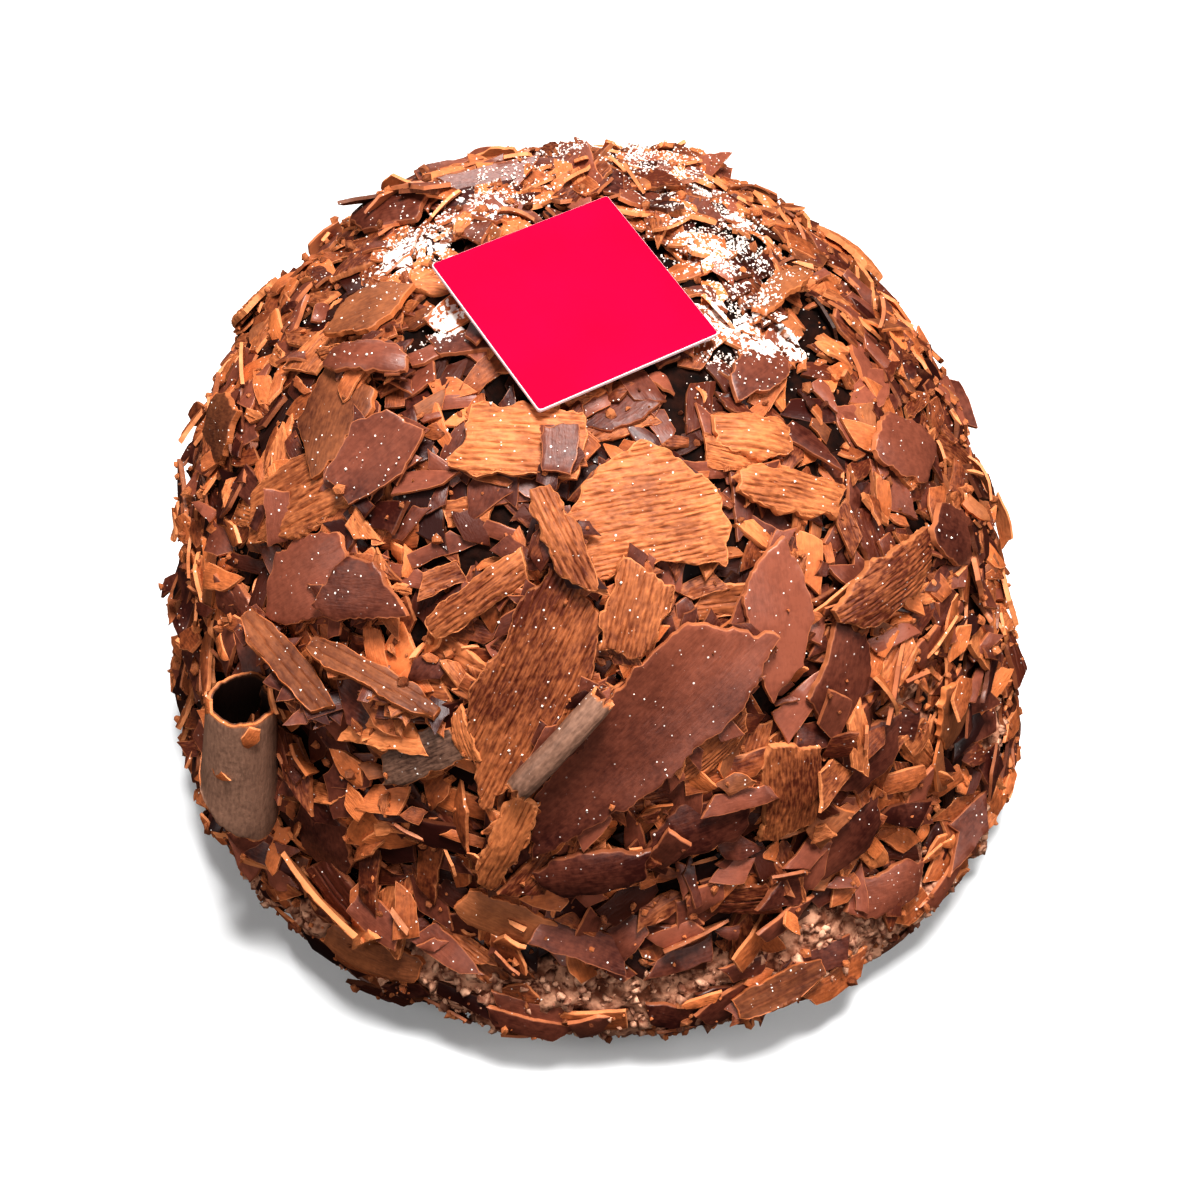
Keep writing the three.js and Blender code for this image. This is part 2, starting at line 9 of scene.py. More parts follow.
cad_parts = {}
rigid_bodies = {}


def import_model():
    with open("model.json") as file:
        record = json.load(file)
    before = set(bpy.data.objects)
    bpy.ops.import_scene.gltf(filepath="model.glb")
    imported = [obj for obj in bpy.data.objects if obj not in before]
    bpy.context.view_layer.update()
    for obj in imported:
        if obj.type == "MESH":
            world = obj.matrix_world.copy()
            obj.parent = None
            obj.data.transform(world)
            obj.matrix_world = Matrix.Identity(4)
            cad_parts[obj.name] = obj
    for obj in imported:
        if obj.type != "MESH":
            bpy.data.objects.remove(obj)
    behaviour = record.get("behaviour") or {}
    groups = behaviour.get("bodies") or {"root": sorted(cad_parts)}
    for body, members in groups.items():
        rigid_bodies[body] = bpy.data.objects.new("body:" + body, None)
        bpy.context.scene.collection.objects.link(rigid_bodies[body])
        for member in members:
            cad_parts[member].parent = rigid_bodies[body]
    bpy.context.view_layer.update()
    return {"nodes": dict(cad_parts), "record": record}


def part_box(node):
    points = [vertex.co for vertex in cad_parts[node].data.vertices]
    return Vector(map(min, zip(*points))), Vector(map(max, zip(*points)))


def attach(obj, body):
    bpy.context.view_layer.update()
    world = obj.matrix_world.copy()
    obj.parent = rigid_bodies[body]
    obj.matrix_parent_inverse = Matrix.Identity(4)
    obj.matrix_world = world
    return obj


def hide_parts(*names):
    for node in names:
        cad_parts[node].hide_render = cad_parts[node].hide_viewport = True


# Merveilleux cake. Lengths in this script are millimetres until a mesh is made of them. A place on the cake
# is an azimuth, in degrees from the front and towards the right, and a climb, from 0 at the foot to 100 at
# the crown.
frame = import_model()
mm = 0.001
nodeSlots = {part["node"]: part["material_slot"] for part in frame["record"]["subparts"]}
print("frame loaded,", len(nodeSlots), "nodes")


# Noise and small helpers.

latticeSize = 64
lattice = np.random.default_rng(11).uniform(-1, 1, (latticeSize, latticeSize, latticeSize))


def softNoise(x, y, z=0.0):
    # value noise from -1 to 1, smooth between whole numbers
    x, y, z = np.broadcast_arrays(x, y, z)
    whole = [np.floor(axis).astype(int) for axis in (x, y, z)]
    part = [axis - low for axis, low in zip((x, y, z), whole)]
    part = [share * share * (3 - 2 * share) for share in part]
    total = np.zeros(x.shape)
    for corner in range(8):
        steps = [(corner >> axis) & 1 for axis in range(3)]
        weight = np.ones(x.shape)
        for share, step in zip(part, steps):
            weight = weight * (share if step else 1 - share)
        index = [(low + step) % latticeSize for low, step in zip(whole, steps)]
        total += weight * lattice[index[0], index[1], index[2]]
    return total


def noiseAt(points, size, shift=0.0):
    # the noise at points in space, with lumps of this size
    x, y, z = np.moveaxis(points, -1, 0) / size
    return softNoise(x, y, z + shift)


def unit(vector):
    return vector / np.linalg.norm(vector)


def srgb(red, green, blue):
    # a colour given in 0 to 255 as Blender wants it
    shares = [value / 255 for value in (red, green, blue)]
    return tuple(s / 12.92 if s <= 0.04045 else ((s + 0.055) / 1.055) ** 2.4 for s in shares) + (1.0,)


# The dome that everything lies on.

dome = {
    "radius": 74.5, "height": 117.4, "fullness": 3.3, "crownLean": -6.9, "footBulge": 5.0,
    "footBulgeHeight": 15.0, "footBulgeSpread": 13.0, "footTuck": 7.5, "footTuckSpread": 6.0,
}


def traceDome(steps=600):
    turn = np.linspace(0, math.pi / 2, steps + 1)
    height = dome["height"] * np.sin(turn) ** (2 / dome["fullness"])
    share = np.minimum(1, height / dome["height"])
    radius = dome["radius"] * np.sqrt(1 - share ** dome["fullness"])
    bulge = (height - dome["footBulgeHeight"]) / dome["footBulgeSpread"]
    radius += dome["footBulge"] * np.exp(-(bulge ** 2))
    radius -= dome["footTuck"] * np.exp(-((height / dome["footTuckSpread"]) ** 2))
    radius[-1] = 0
    way = np.concatenate([[0], np.cumsum(np.hypot(np.diff(radius), np.diff(height)))])
    return radius, height, way


domeRadii, domeHeights, domeWays = traceDome()


def outlineAt(climb):
    way = np.clip(climb / 100, 0, 1) * domeWays[-1]
    return np.interp(way, domeWays, domeRadii), np.interp(way, domeWays, domeHeights)


def domePlace(azimuth, climb):
    # point, outward normal, level direction and way up at a place on the dome
    radius, height = outlineAt(climb)
    radiusBelow, heightBelow = outlineAt(climb - 0.2)
    radiusAbove, heightAbove = outlineAt(climb + 0.2)
    slope = math.atan2(heightAbove - heightBelow, radiusBelow - radiusAbove)
    angle = math.radians(azimuth)
    outward = np.array([math.sin(angle), -math.cos(angle), 0])
    level = np.array([math.cos(angle), math.sin(angle), 0])
    normal = outward * math.sin(slope) + np.array([0, 0, math.cos(slope)])
    lean = dome["crownLean"] * height / dome["height"]
    point = outward * radius + np.array([lean, 0, height])
    return point, normal, level, np.cross(normal, level)


def climbOfArea(shares):
    # the climb below which a share of the dome's surface lies
    radii = 0.5 * (domeRadii[1:] + domeRadii[:-1]) * np.diff(domeWays)
    covered = np.concatenate([[0], np.cumsum(radii)]) / radii.sum()
    return 100 * np.interp(shares, covered, domeWays / domeWays[-1])


# where cream shows between the flakes, by azimuth, climb and reach, and along the foot
creamPatches = [
    (48, 41, 5), (55, 34, 7), (69, 19, 8), (62, 26, 6), (44, 18, 6), (58, 15, 9), (-30, 16, 6), (86, 13, 7),
]
creamFoot = {
    "back": 10.0, "front": 24.0, "middle": 4, "half": 46, "fade": 7.0, "waves": 4, "waveLength": 13,
    "spots": 0.5, "spotSize": 4,
}


def creamAt(points):
    # how far the cream shows, from 0 to 1
    x, y, z = np.atleast_2d(points).T
    azimuth = np.degrees(np.arctan2(x - dome["crownLean"] / 4, -y))
    front = np.exp(-(((azimuth - creamFoot["middle"]) / creamFoot["half"]) ** 6))
    top = creamFoot["back"] + (creamFoot["front"] - creamFoot["back"]) * front
    waveLength = creamFoot["waveLength"]
    top = top + creamFoot["waves"] * softNoise(x / waveLength, y / waveLength, 4.5)
    share = np.clip((top + creamFoot["fade"] - z) / creamFoot["fade"], 0, 1)
    for azimuth, climb, reach in creamPatches:
        gap = np.atleast_2d(points) - domePlace(azimuth, climb)[0]
        share = np.maximum(share, np.exp(-((gap ** 2).sum(1) / reach ** 2)))
    spots = noiseAt(np.atleast_2d(points), creamFoot["spotSize"])
    return np.clip(1.2 * share - 0.15 + creamFoot["spots"] * share * spots, 0, 1)


# Flakes are thin broken plates of chocolate.

# length and depth of what a break does to an edge
edgeWaves = {"coarse": (2.6, 0.55), "fine": (0.8, 0.35), "notch": (1.5, 0.5)}


def outwardOf(outline):
    # the level direction out of an outline at each of its points
    ahead = np.roll(outline, -1, 0) - np.roll(outline, 1, 0)
    outward = np.stack([ahead[:, 1], -ahead[:, 0]], 1)
    return outward / np.maximum(np.linalg.norm(outward, axis=1), 1e-6)[:, None]


def breakEdge(corners, step, roughness, seed):
    # walks round an outline in short steps and pushes it in and out as a break does
    points = []
    count = len(corners)
    for k in range(count):
        start, end = corners[k], corners[(k + 1) % count]
        length = math.hypot(*(end - start))
        pieces = max(1, round(length / step))
        shares = np.arange(pieces)[:, None] / pieces
        points.append(start + shares * (end - start))
    outline = np.concatenate(points)
    way = np.cumsum(np.linalg.norm(np.roll(outline, -1, 0) - outline, axis=1))
    (coarseWave, coarse), (fineWave, fine), (notchWave, notch) = edgeWaves.values()
    push = coarse * softNoise(way / coarseWave, seed * 7.31)
    push += fine * softNoise(way / fineWave, seed * 3.17, 5.5)
    push += notch * (np.minimum(0, softNoise(way / notchWave, seed * 1.93, 9.5) + 0.45) * 2)
    return outline + outwardOf(outline) * (roughness * push)[:, None]


def fewerCorners(outline, count):
    # drops the corners that matter least, so that straight breaks and sharp corners stay
    corners = [np.array(corner) for corner in outline]
    while len(corners) > count:
        spans = []
        for k, corner in enumerate(corners):
            before, after = corners[k - 1] - corner, corners[(k + 1) % len(corners)] - corner
            spans.append(abs(before[0] * after[1] - before[1] * after[0]))
        corners.pop(int(np.argmin(spans)))
    return np.array(corners)


def insideOutline(points, outline):
    inside = np.zeros(len(points), bool)
    ends = np.roll(outline, -1, 0)
    for (x0, y0), (x1, y1) in zip(outline, ends):
        if y0 == y1:
            continue
        crosses = (y0 > points[:, 1]) != (y1 > points[:, 1])
        reach = x0 + (points[:, 1] - y0) * (x1 - x0) / (y1 - y0)
        inside ^= crosses & (points[:, 0] < reach)
    return inside


def fillOutline(outline, cell, rimInset):
    # a triangle mesh inside an outline: its rim first, then a ring close to it, then a grid
    low, high = outline.min(0), outline.max(0)
    counts = [max(2, round((high[k] - low[k]) / cell[k])) for k in range(2)]
    columns, rows = [low[k] + (np.arange(counts[k]) + 0.5) * (high[k] - low[k]) / counts[k] for k in range(2)]
    grid = np.stack(np.meshgrid(columns, rows, indexing="ij"), -1).reshape(-1, 2)
    near = np.linalg.norm(grid[:, None] - outline[None], axis=2).min(1)
    grid = grid[insideOutline(grid, outline) & (near > rimInset + 0.45 * min(cell))]
    inner = np.zeros((0, 2))
    if rimInset:
        inner = outline - outwardOf(outline) * rimInset
        near = np.linalg.norm(inner[:, None] - outline[None], axis=2).min(1)
        inner = inner[insideOutline(inner, outline) & (near > 0.75 * rimInset)]
    points = np.concatenate([outline, inner, grid])
    count = len(outline)
    edges = [(k, (k + 1) % count) for k in range(count)]
    found = delaunay_2d_cdt([Vector(p) for p in points], edges, [], 1, 1e-7)
    if len(found[0]) != len(points):
        return None
    triangles = np.array(found[2])
    a, b, c = (points[triangles[:, k]] for k in range(3))
    turned = (b[:, 0] - a[:, 0]) * (c[:, 1] - a[:, 1]) - (b[:, 1] - a[:, 1]) * (c[:, 0] - a[:, 0]) < 0
    triangles[turned] = triangles[turned][:, ::-1]
    return points, triangles


def makePlate(outline, middle, look, seed):
    # a closed plate: worked top, rough wall and plain underside, in its own length, width and height
    cell = look["cell"]
    top = fillOutline(outline, cell, look["rimInset"])
    bottom = fillOutline(outline, look["underCell"], 0)
    if top is None or bottom is None:
        return None
    (upper, upperFaces), (lower, lowerFaces) = top, bottom
    rim = len(outline)
    half = look["thickness"] / 2
    height = middle(upper) + half
    inner = np.arange(len(upper)) >= rim
    relief = look["relief"](upper[inner], seed)
    height[inner] += relief
    height[~inner] -= look["chamfer"]
    under = middle(lower) - half
    waves = softNoise(lower[:, 0] / 2, lower[:, 1] / 2, seed * 1.7)
    under += np.where(np.arange(len(lower)) >= rim, 0.1, 0.0) * waves
    points = np.concatenate([np.column_stack([upper, height]), np.column_stack([lower, under])])
    faces = [tuple(face) for face in upperFaces.tolist()]
    faces += [tuple(corner + len(upper) for corner in reversed(face)) for face in lowerFaces.tolist()]
    shift = len(upper)
    for k in range(rim):
        after = (k + 1) % rim
        faces.append((k, k + shift, after + shift, after))
    edge = np.zeros(len(points))
    edge[:rim] = 1
    edge[shift:shift + rim] = 1
    # painted shade: how far each point of the worked face lies down in the relief, which the finish darkens
    hollow = np.zeros(len(points))
    hollow[rim:shift] = np.clip(0.5 - relief / look.get("hollowDepth", 1.0), 0, 1)
    return {"points": points, "faces": faces, "edge": edge, "hollow": hollow, "flat": points[:, :2].copy()}


def newMesh(name, points, faces):
    mesh = bpy.data.meshes.new(name)
    mesh.from_pydata((np.array(points) * mm).tolist(), [], faces)
    return mesh


def newObject(name, data):
    made = bpy.data.objects.new(name, data)
    bpy.context.scene.collection.objects.link(made)
    return made


def writeAttribute(mesh, label, values, kind="FLOAT", domain="POINT", field="value"):
    attribute = mesh.attributes.new(label, kind, domain)
    attribute.data.foreach_set(field, np.ravel(values).astype(np.int32 if kind == "INT" else np.float32))


def plateMesh(name, plate, place=None, origin=None, sharpAngle=38, flatOffset=(0, 0)):
    # place holds the plate's three directions as rows
    points = plate["points"]
    if place is not None:
        points = points @ place + origin
        points[:, 2] = np.maximum(points[:, 2], 0.05)
    mesh = newMesh(name, points, plate["faces"])
    mesh.update()
    for label in ("edge", "hollow"):
        if label in plate:
            writeAttribute(mesh, label, plate[label])
    corners = np.empty(len(mesh.loops), np.int32)
    mesh.loops.foreach_get("vertex_index", corners)
    layer = mesh.uv_layers.new(name="flake")
    spread = (plate["flat"] + np.array(flatOffset)) * 0.1
    layer.data.foreach_set("uv", spread[corners].astype(np.float32).ravel())
    mesh.shade_smooth()
    mesh.set_sharp_from_angle(angle=math.radians(sharpAngle))
    return mesh


def setTone(mesh, tone):
    writeAttribute(mesh, "tone", np.broadcast_to(tone, len(mesh.vertices)))


def smoothRelief(flat, seed):
    along, across = flat[:, 0], flat[:, 1]
    broad = 0.14 * softNoise(along / 5, across / 3, seed * 2.3)
    drawn = 0.05 * softNoise(along / 9, across / 0.7, seed * 5.1)
    return broad + drawn


def groovedRelief(flat, seed):
    # narrow grooves, nearly straight, that break off and start again
    along, across = flat[:, 0], flat[:, 1]
    phase = across / 0.78 + 0.5 * softNoise(along / 6, across / 4, seed * 2.9)
    line = np.round(phase)
    there = np.clip(0.6 + 1.3 * softNoise(along / 3.2 + 13.7 * line, line * 3.3, seed * 1.1), 0, 1)
    groove = there * np.exp(-(((phase - line) / 0.2) ** 2))
    tear = 0.13 * softNoise(along / 0.9, across / 0.5, seed * 6.7)
    return 0.06 - 0.26 * groove + tear + 0.18 * softNoise(along / 6, across / 4, seed)


def stackedRelief(flat, seed):
    # the edges of several plates side by side
    along, across = flat[:, 0], flat[:, 1]
    step = (across / 1.7 + 0.25 * softNoise(along / 7, seed * 1.3) + 0.3) % 1.0
    return 0.5 * (step - 0.6) + 0.08 * softNoise(along / 1.4, across / 0.8, seed * 3.1)


def plateLook(thickness, cell, step, roughness, relief=smoothRelief, **more):
    # cell is the mesh of the worked face, step that of its rim, roughness how far the rim is broken
    look = {"underCell": (2.4, 2.0), "rimInset": 0.2, "chamfer": 0.1, "corners": 8, "swell": 1.05}
    look.update(thickness=thickness, cell=cell, step=step, roughness=roughness, relief=relief, **more)
    return look


flakeLooks = {
    "shaving_smooth": plateLook(0.95, (1.0, 0.75), 0.5, 1.0),
    "shaving_pale": plateLook(1.0, (0.95, 0.6), 0.45, 1.0, chamfer=0.12),
    "shaving_grooved": plateLook(1.05, (0.75, 0.19), 0.42, 1.15, groovedRelief, hollowDepth=0.24),
    "stacked": plateLook(1.2, (0.8, 0.3), 0.45, 0.6, stackedRelief, swell=1.0, hollowDepth=0.5),
}
# how dark or light single shavings are, where they stand out from their kind
ownTones = {
    "shaving_curl": 0.88, "shaving_edge_strip_left": 0.35, "shaving_edge_strip_middle": 0.3,
    "shaving_edge_foot": 0.35, "shaving_grey_wedge": 0.35, "shaving_tan_left": 0.5,
    "shaving_bent_strip": 0.55, "shaving_foot_tan": 0.75, "shaving_slant_grooved": 0.35,
    "shaving_fan": 0.7, "shaving_oblong": 0.75,
    "shaving_mauve_left": 0.75, "shaving_mauve_right": 0.85, "shaving_red_left": 0.35,
    "shaving_red_plate": 0.3, "shaving_dark_low": 0.1, "shaving_dark_low_middle": 0.1,
    "shaving_thick_grooved": 0.4, "shaving_ragged_middle": 0.4,
}
# tones at the lower and the upper end of shavings that change along their length; on the broad dark shaving
# the paler upper end is a painted reflection of the light
toneAndSheenRuns = {
    "shaving_broad_dark": (0.02, 0.72), "shaving_broad_grooved": (0.42, 0.1),
    "shaving_thin_roll": (0.4, 0.65), "shaving_dark_left": (0.5, 0.2), "shaving_purple_right": (0.15, 0.5),
}
bloomedNodes = ["shaving_curl", "shaving_thin_roll", "shaving_grey_wedge"]
# shavings that look like another kind
ownLooks = {"shaving_tan_left": "shaving_grooved", "shaving_tan_right": "shaving_grooved"}
stackedNodes = ["shaving_edge_strip_left", "shaving_edge_strip_middle", "shaving_edge_foot"]


# The large shavings, each over its own node.


def readNode(name):
    mesh = frame["nodes"][name].data
    corners = np.empty(len(mesh.vertices) * 3, np.float32)
    mesh.vertices.foreach_get("co", corners)
    triangles = np.empty(len(mesh.polygons) * 3, np.int32)
    mesh.polygons.foreach_get("vertices", triangles)
    points, index = np.unique(np.round(corners.reshape(-1, 3) / mm, 3), axis=0, return_inverse=True)
    return points.astype(float), index.ravel()[triangles].reshape(-1, 3)


def readPlate(name):
    # the axes, outline and bend of a node that is a thin plate
    points, triangles = readNode(name)
    centre = points.mean(0)
    axes = np.linalg.eigh(np.cov((points - centre).T))[1]
    across, normal = axes[:, 1], axes[:, 0]
    if normal @ (centre - np.array([dome["crownLean"] / 2, 0, 45])) < 0:
        normal = -normal
    along = np.cross(across, normal)
    place = np.array([along, across, normal])
    local = (points - centre) @ place.T
    a, b, c = (points[triangles[:, k]] for k in range(3))
    facing = np.cross(b - a, c - a)
    facing /= np.linalg.norm(facing, axis=1)[:, None]
    upper = triangles[facing @ normal > 0.5]
    directed = {(face[k], face[(k + 1) % 3]) for face in upper.tolist() for k in range(3)}
    ahead = {start: end for start, end in directed if (end, start) not in directed}
    loop = [next(iter(sorted(ahead)))]
    while ahead[loop[-1]] != loop[0]:
        loop.append(ahead[loop[-1]])
    powers = lambda flat: np.column_stack([
        np.ones(len(flat)), flat[:, 0], flat[:, 1], flat[:, 0] ** 2, flat[:, 0] * flat[:, 1], flat[:, 1] ** 2,
    ])
    bend = np.linalg.lstsq(powers(local[:, :2]), local[:, 2], rcond=None)[0]
    return {
        "centre": centre, "place": place, "outline": local[loop][:, :2],
        "middle": lambda flat: powers(flat) @ bend,
    }


def makeLargeShaving(node, number):
    read = readPlate(node)
    look = flakeLooks["stacked" if node in stackedNodes else ownLooks.get(node, nodeSlots[node])]
    roughness = look["roughness"]
    plate = None
    while plate is None:
        corners = fewerCorners(read["outline"], look["corners"]) * look["swell"]
        outline = breakEdge(corners, look["step"], roughness, number + 1)
        plate = makePlate(outline, read["middle"], look, number + 1)
        roughness *= 0.6
    offset = (17 * number, 9 * number)
    return plateMesh(pieceName(node), plate, read["place"], read["centre"], flatOffset=offset)


def pieceName(node):
    words = node.split("_")[1:]
    return words[0] + "".join(word.capitalize() for word in words[1:]) + "Shaving"


# The two rolled shavings.

# head and tail are how much of the turn is left at each end, headCut how far the head is cut slanting
rolls = {
    "shaving_curl": {
        "azimuth": -46, "climb": 36.5, "spin": 87.5, "pitch": 2, "length": 27, "head": 0.6, "tail": 1,
        "headCut": 13, "radius": 5.2, "turn": 385, "flare": 1.2, "rise": 1.8, "thickness": 1.1, "arch": 0,
        "cells": (54, 150),
    },
    "shaving_thin_roll": {
        "azimuth": -2, "climb": 50, "spin": 51, "pitch": 0, "length": 20, "head": 0.9, "tail": 0.8,
        "headCut": 0, "radius": 1.5, "turn": 300, "flare": 0, "rise": 1.8, "thickness": 1.0, "arch": 0.8,
        "cells": (40, 44),
    },
}
# painted shade: the inner face of the curl gets a tone this much lower, for the shade inside it
insideShade = 1.2  # how much lower the tone is inside the curl


def makeRoll(node, number):
    roll = rolls[node]
    alongCells, acrossCells = roll["cells"]
    along = np.linspace(-1, 1, alongCells + 1)[:, None]
    across = np.linspace(-1, 1, acrossCells + 1)[None, :]
    end = along ** 2
    taper = 1 - (1 - np.where(along < 0, roll["head"], roll["tail"])) * np.abs(along) ** 3
    turned = across * taper * roll["turn"] / 2 + 2.5 * softNoise(along * 7, number)
    tears = 0.9 * softNoise(across * 6, number + 3.5) + 0.22 * softNoise(across * 21, number)
    ragged = 0.5 * np.abs(across) ** 30 * softNoise(along * 11, number + 0.5)
    cut = roll["headCut"] * end * (0.5 + 0.5 * np.sin(np.radians(turned)))
    x = along * roll["length"] / 2 + np.abs(along) ** 12 * tears + np.where(along < 0, cut, 0)
    drawn = 0.06 * softNoise(turned / 9, along * 2.2, number)
    drawn = drawn + 0.05 * softNoise(turned / 3.1, along * 3, 2.5)
    angle = np.radians(turned)
    skins = []
    for side in (1, -1):
        reach = roll["radius"] + roll["flare"] * (1 - along) / 2 + roll["rise"] * turned / 360
        reach = reach + side * (roll["thickness"] / 2) * (1 - 0.3 * np.abs(along) ** 14) + drawn + ragged
        up = reach * np.cos(angle) - roll["arch"] * end
        skins.append(np.stack([x, reach * np.sin(angle), up], -1))
    size = turned.size
    points = np.concatenate([skin.reshape(-1, 3) for skin in skins])
    row = acrossCells + 1
    faces = []
    for i in range(alongCells):
        for j in range(acrossCells):
            a = i * row + j
            faces.append((a, a + row, a + row + 1, a + 1))
            faces.append(tuple(corner + size for corner in (a + 1, a + row + 1, a + row, a)))
    border = [i * row for i in range(alongCells)] + [alongCells * row + j for j in range(acrossCells)]
    border += [i * row + acrossCells for i in range(alongCells, 0, -1)] + list(range(acrossCells, 0, -1))
    for start, stop in zip(border, border[1:] + border[:1]):
        faces.append((start, start + size, stop + size, stop))
    edge = np.zeros(len(points))
    edge[border] = 1
    edge[np.array(border) + size] = 1
    inside = np.arange(len(points)) >= size
    flat = np.stack([x, angle * roll["radius"]], -1).reshape(-1, 2)
    plate = {"points": points, "faces": faces, "edge": edge, "flat": np.concatenate([flat, flat])}
    point, normal, level, rise = domePlace(roll["azimuth"], roll["climb"])
    spin, pitch = math.radians(roll["spin"]), math.radians(-roll["pitch"])
    turn = Matrix.Rotation(spin, 3, "Z") @ Matrix.Rotation(pitch, 3, "Y")
    place = np.array(turn.transposed()) @ np.array([level, rise, normal])
    laid = points @ place
    box = [np.array(corner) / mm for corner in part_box(node)]
    middle = (laid.min(0) + laid.max(0)) / 2
    origin = (box[0] + box[1]) / 2 - middle
    mesh = plateMesh(pieceName(node), plate, place, origin, flatOffset=(31 * number, 0))
    if node not in toneAndSheenRuns:
        # painted shade: a lower tone on the inner face
        setTone(mesh, np.where(inside, ownTones[node] - insideShade, ownTones[node]))
    return mesh


# where sugar lies thick, by x, y and reach
sugarDrifts = [
    (13, 9, 9), (19, 0, 8), (12, 22, 8), (22, 12, 7), (19, -12, 6), (29, -13, 4), (-28, 5, 6),
    (-34, 1, 5), (-20, 11, 6), (-13, 17, 6), (-6, 32, 7), (4, 30, 7), (3, 40, 6), (-25, -16, 4),
    (16, -20, 4), (23, -18, 4),
]

# Shader groups and finishes.


def setInputs(tree, node, inputs):
    # links what is a socket and sets what is a value
    for name, value in inputs.items():
        socket = node.inputs[name]
        if isinstance(value, bpy.types.NodeSocket):
            tree.links.new(value, socket)
        else:
            socket.default_value = value


def addNode(tree, kind, inputs=None, **settings):
    node = tree.nodes.new(kind)
    for name, value in settings.items():
        setattr(node, name, value)
    setInputs(tree, node, inputs or {})
    return node


def mathNode(tree, operation, first, second=0.0, clamp=False):
    node = addNode(tree, "ShaderNodeMath", {0: first, 1: second}, operation=operation, use_clamp=clamp)
    return node.outputs[0]


def mixColor(tree, share, first, second, blend="MIX"):
    inputs = {0: share, 6: first, 7: second}
    return addNode(tree, "ShaderNodeMix", inputs, data_type="RGBA", blend_type=blend).outputs[2]


def noiseNode(tree, place, scale, detail):
    inputs = {"Vector": place, "Scale": scale, "Detail": detail}
    return addNode(tree, "ShaderNodeTexNoise", inputs).outputs[0]


def readAttribute(tree, name):
    return addNode(tree, "ShaderNodeAttribute", attribute_name=name).outputs["Fac"]


def spanNode(tree, value, low, high, toLow=0.0, toHigh=1.0):
    inputs = {"Value": value, "From Min": low, "From Max": high, "To Min": toLow, "To Max": toHigh}
    return addNode(tree, "ShaderNodeMapRange", inputs, clamp=True).outputs["Result"]


def startGroup(name, inputs, outputs, treeKind="ShaderNodeTree"):
    # a node group and its two ends, from rows of label, kind and, for some inputs, a first value
    group = bpy.data.node_groups.new(name, treeKind)
    for side, rows in (("INPUT", inputs), ("OUTPUT", outputs)):
        for label, kind, *value in rows:
            socket = group.interface.new_socket(label, in_out=side, socket_type="NodeSocket" + kind)
            if value:
                socket.default_value = value[0]
    return group, addNode(group, "NodeGroupInput").outputs, addNode(group, "NodeGroupOutput")


def startFinish(name):
    # a new material with its tree, its shader and the place on the cake
    material = bpy.data.materials.new(name)
    material.use_nodes = True
    tree = material.node_tree
    solid = addNode(tree, "ShaderNodeTexCoord").outputs["Object"]
    return material, tree, tree.nodes["Principled BSDF"], solid


def endFinish(tree, shader, color, roughness, gloss, bumps):
    # bumps holds the height that makes them, how deep they are and how strong they show
    bump = addNode(tree, "ShaderNodeBump", dict(zip(("Height", "Distance", "Strength"), bumps)))
    setInputs(tree, shader, {
        "Base Color": color, "Roughness": roughness, "Specular IOR Level": gloss,
        "Normal": bump.outputs["Normal"],
    })


def makeChocolateGroup():
    # colour that changes from flake to flake and over each flake, paler along broken edges, with painted
    # shade in the hollows of the relief and where the tone is below zero
    inputs = [
        ("Flat", "Vector"), ("Solid", "Vector"), ("Tone", "Float", 0.5), ("Edge", "Float", 0.0),
        ("Hollow", "Float", 0.0), ("Dark", "Color"), ("Light", "Color"), ("Broken", "Color"),
        ("Streaks", "Float", 0.4),
    ]
    group, put, result = startGroup("chocolateColor", inputs, [("Color", "Color"), ("Height", "Float")])
    drawn = addNode(group, "ShaderNodeMapping", {"Vector": put["Flat"], "Scale": (2.6, 12.0, 1.0)})
    lines = noiseNode(group, drawn.outputs[0], 2.2, 4.0)
    cloud = noiseNode(group, put["Solid"], 260.0, 3.0)
    broad = noiseNode(group, put["Solid"], 90.0, 2.0)
    streak = mathNode(group, "MULTIPLY", spanNode(group, lines, 0.35, 0.65, -0.5, 0.5), put["Streaks"])
    blotch = spanNode(group, broad, 0.3, 0.7, -0.22, 0.22)
    fleck = noiseNode(group, put["Solid"], 1000.0, 2.0)
    marks = mathNode(group, "ADD", streak, spanNode(group, fleck, 0.35, 0.65, -0.1, 0.1))
    share = mathNode(group, "ADD", mathNode(group, "ADD", put["Tone"], marks), blotch, clamp=True)
    color = mixColor(group, share, put["Dark"], put["Light"])
    # painted shade: the hollows of the relief are darkened towards the dark colour
    hollowShadeShare = spanNode(group, put["Hollow"], 0.6, 1.2, 0.0, 0.62)
    color = mixColor(group, hollowShadeShare, color, put["Dark"])
    torn = mathNode(group, "MULTIPLY", put["Edge"], spanNode(group, cloud, 0.3, 0.6, 0.45, 1.0), clamp=True)
    # the paler edge fades where the tone is low, also where the tone carries painted shade
    torn = mathNode(group, "MULTIPLY", torn, spanNode(group, put["Tone"], 0.0, 0.4, 0.2, 1.0))
    color = mixColor(group, torn, color, put["Broken"])
    # painted shade: a tone below zero darkens the colour, for flakes low in the heap, near the foot, under
    # large shavings and inside the curl
    deep = spanNode(group, put["Tone"], -0.7, 0.0, 0.15, 1.0)
    shade = addNode(group, "ShaderNodeCombineColor", {0: deep, 1: deep, 2: deep}).outputs[0]
    group.links.new(mixColor(group, 1.0, color, shade, "MULTIPLY"), result.inputs["Color"])
    grit = mathNode(group, "MULTIPLY", noiseNode(group, put["Solid"], 1500.0, 2.0), 0.3)
    height = mathNode(group, "ADD", mathNode(group, "MULTIPLY", lines, 0.7), grit)
    group.links.new(height, result.inputs["Height"])
    return group


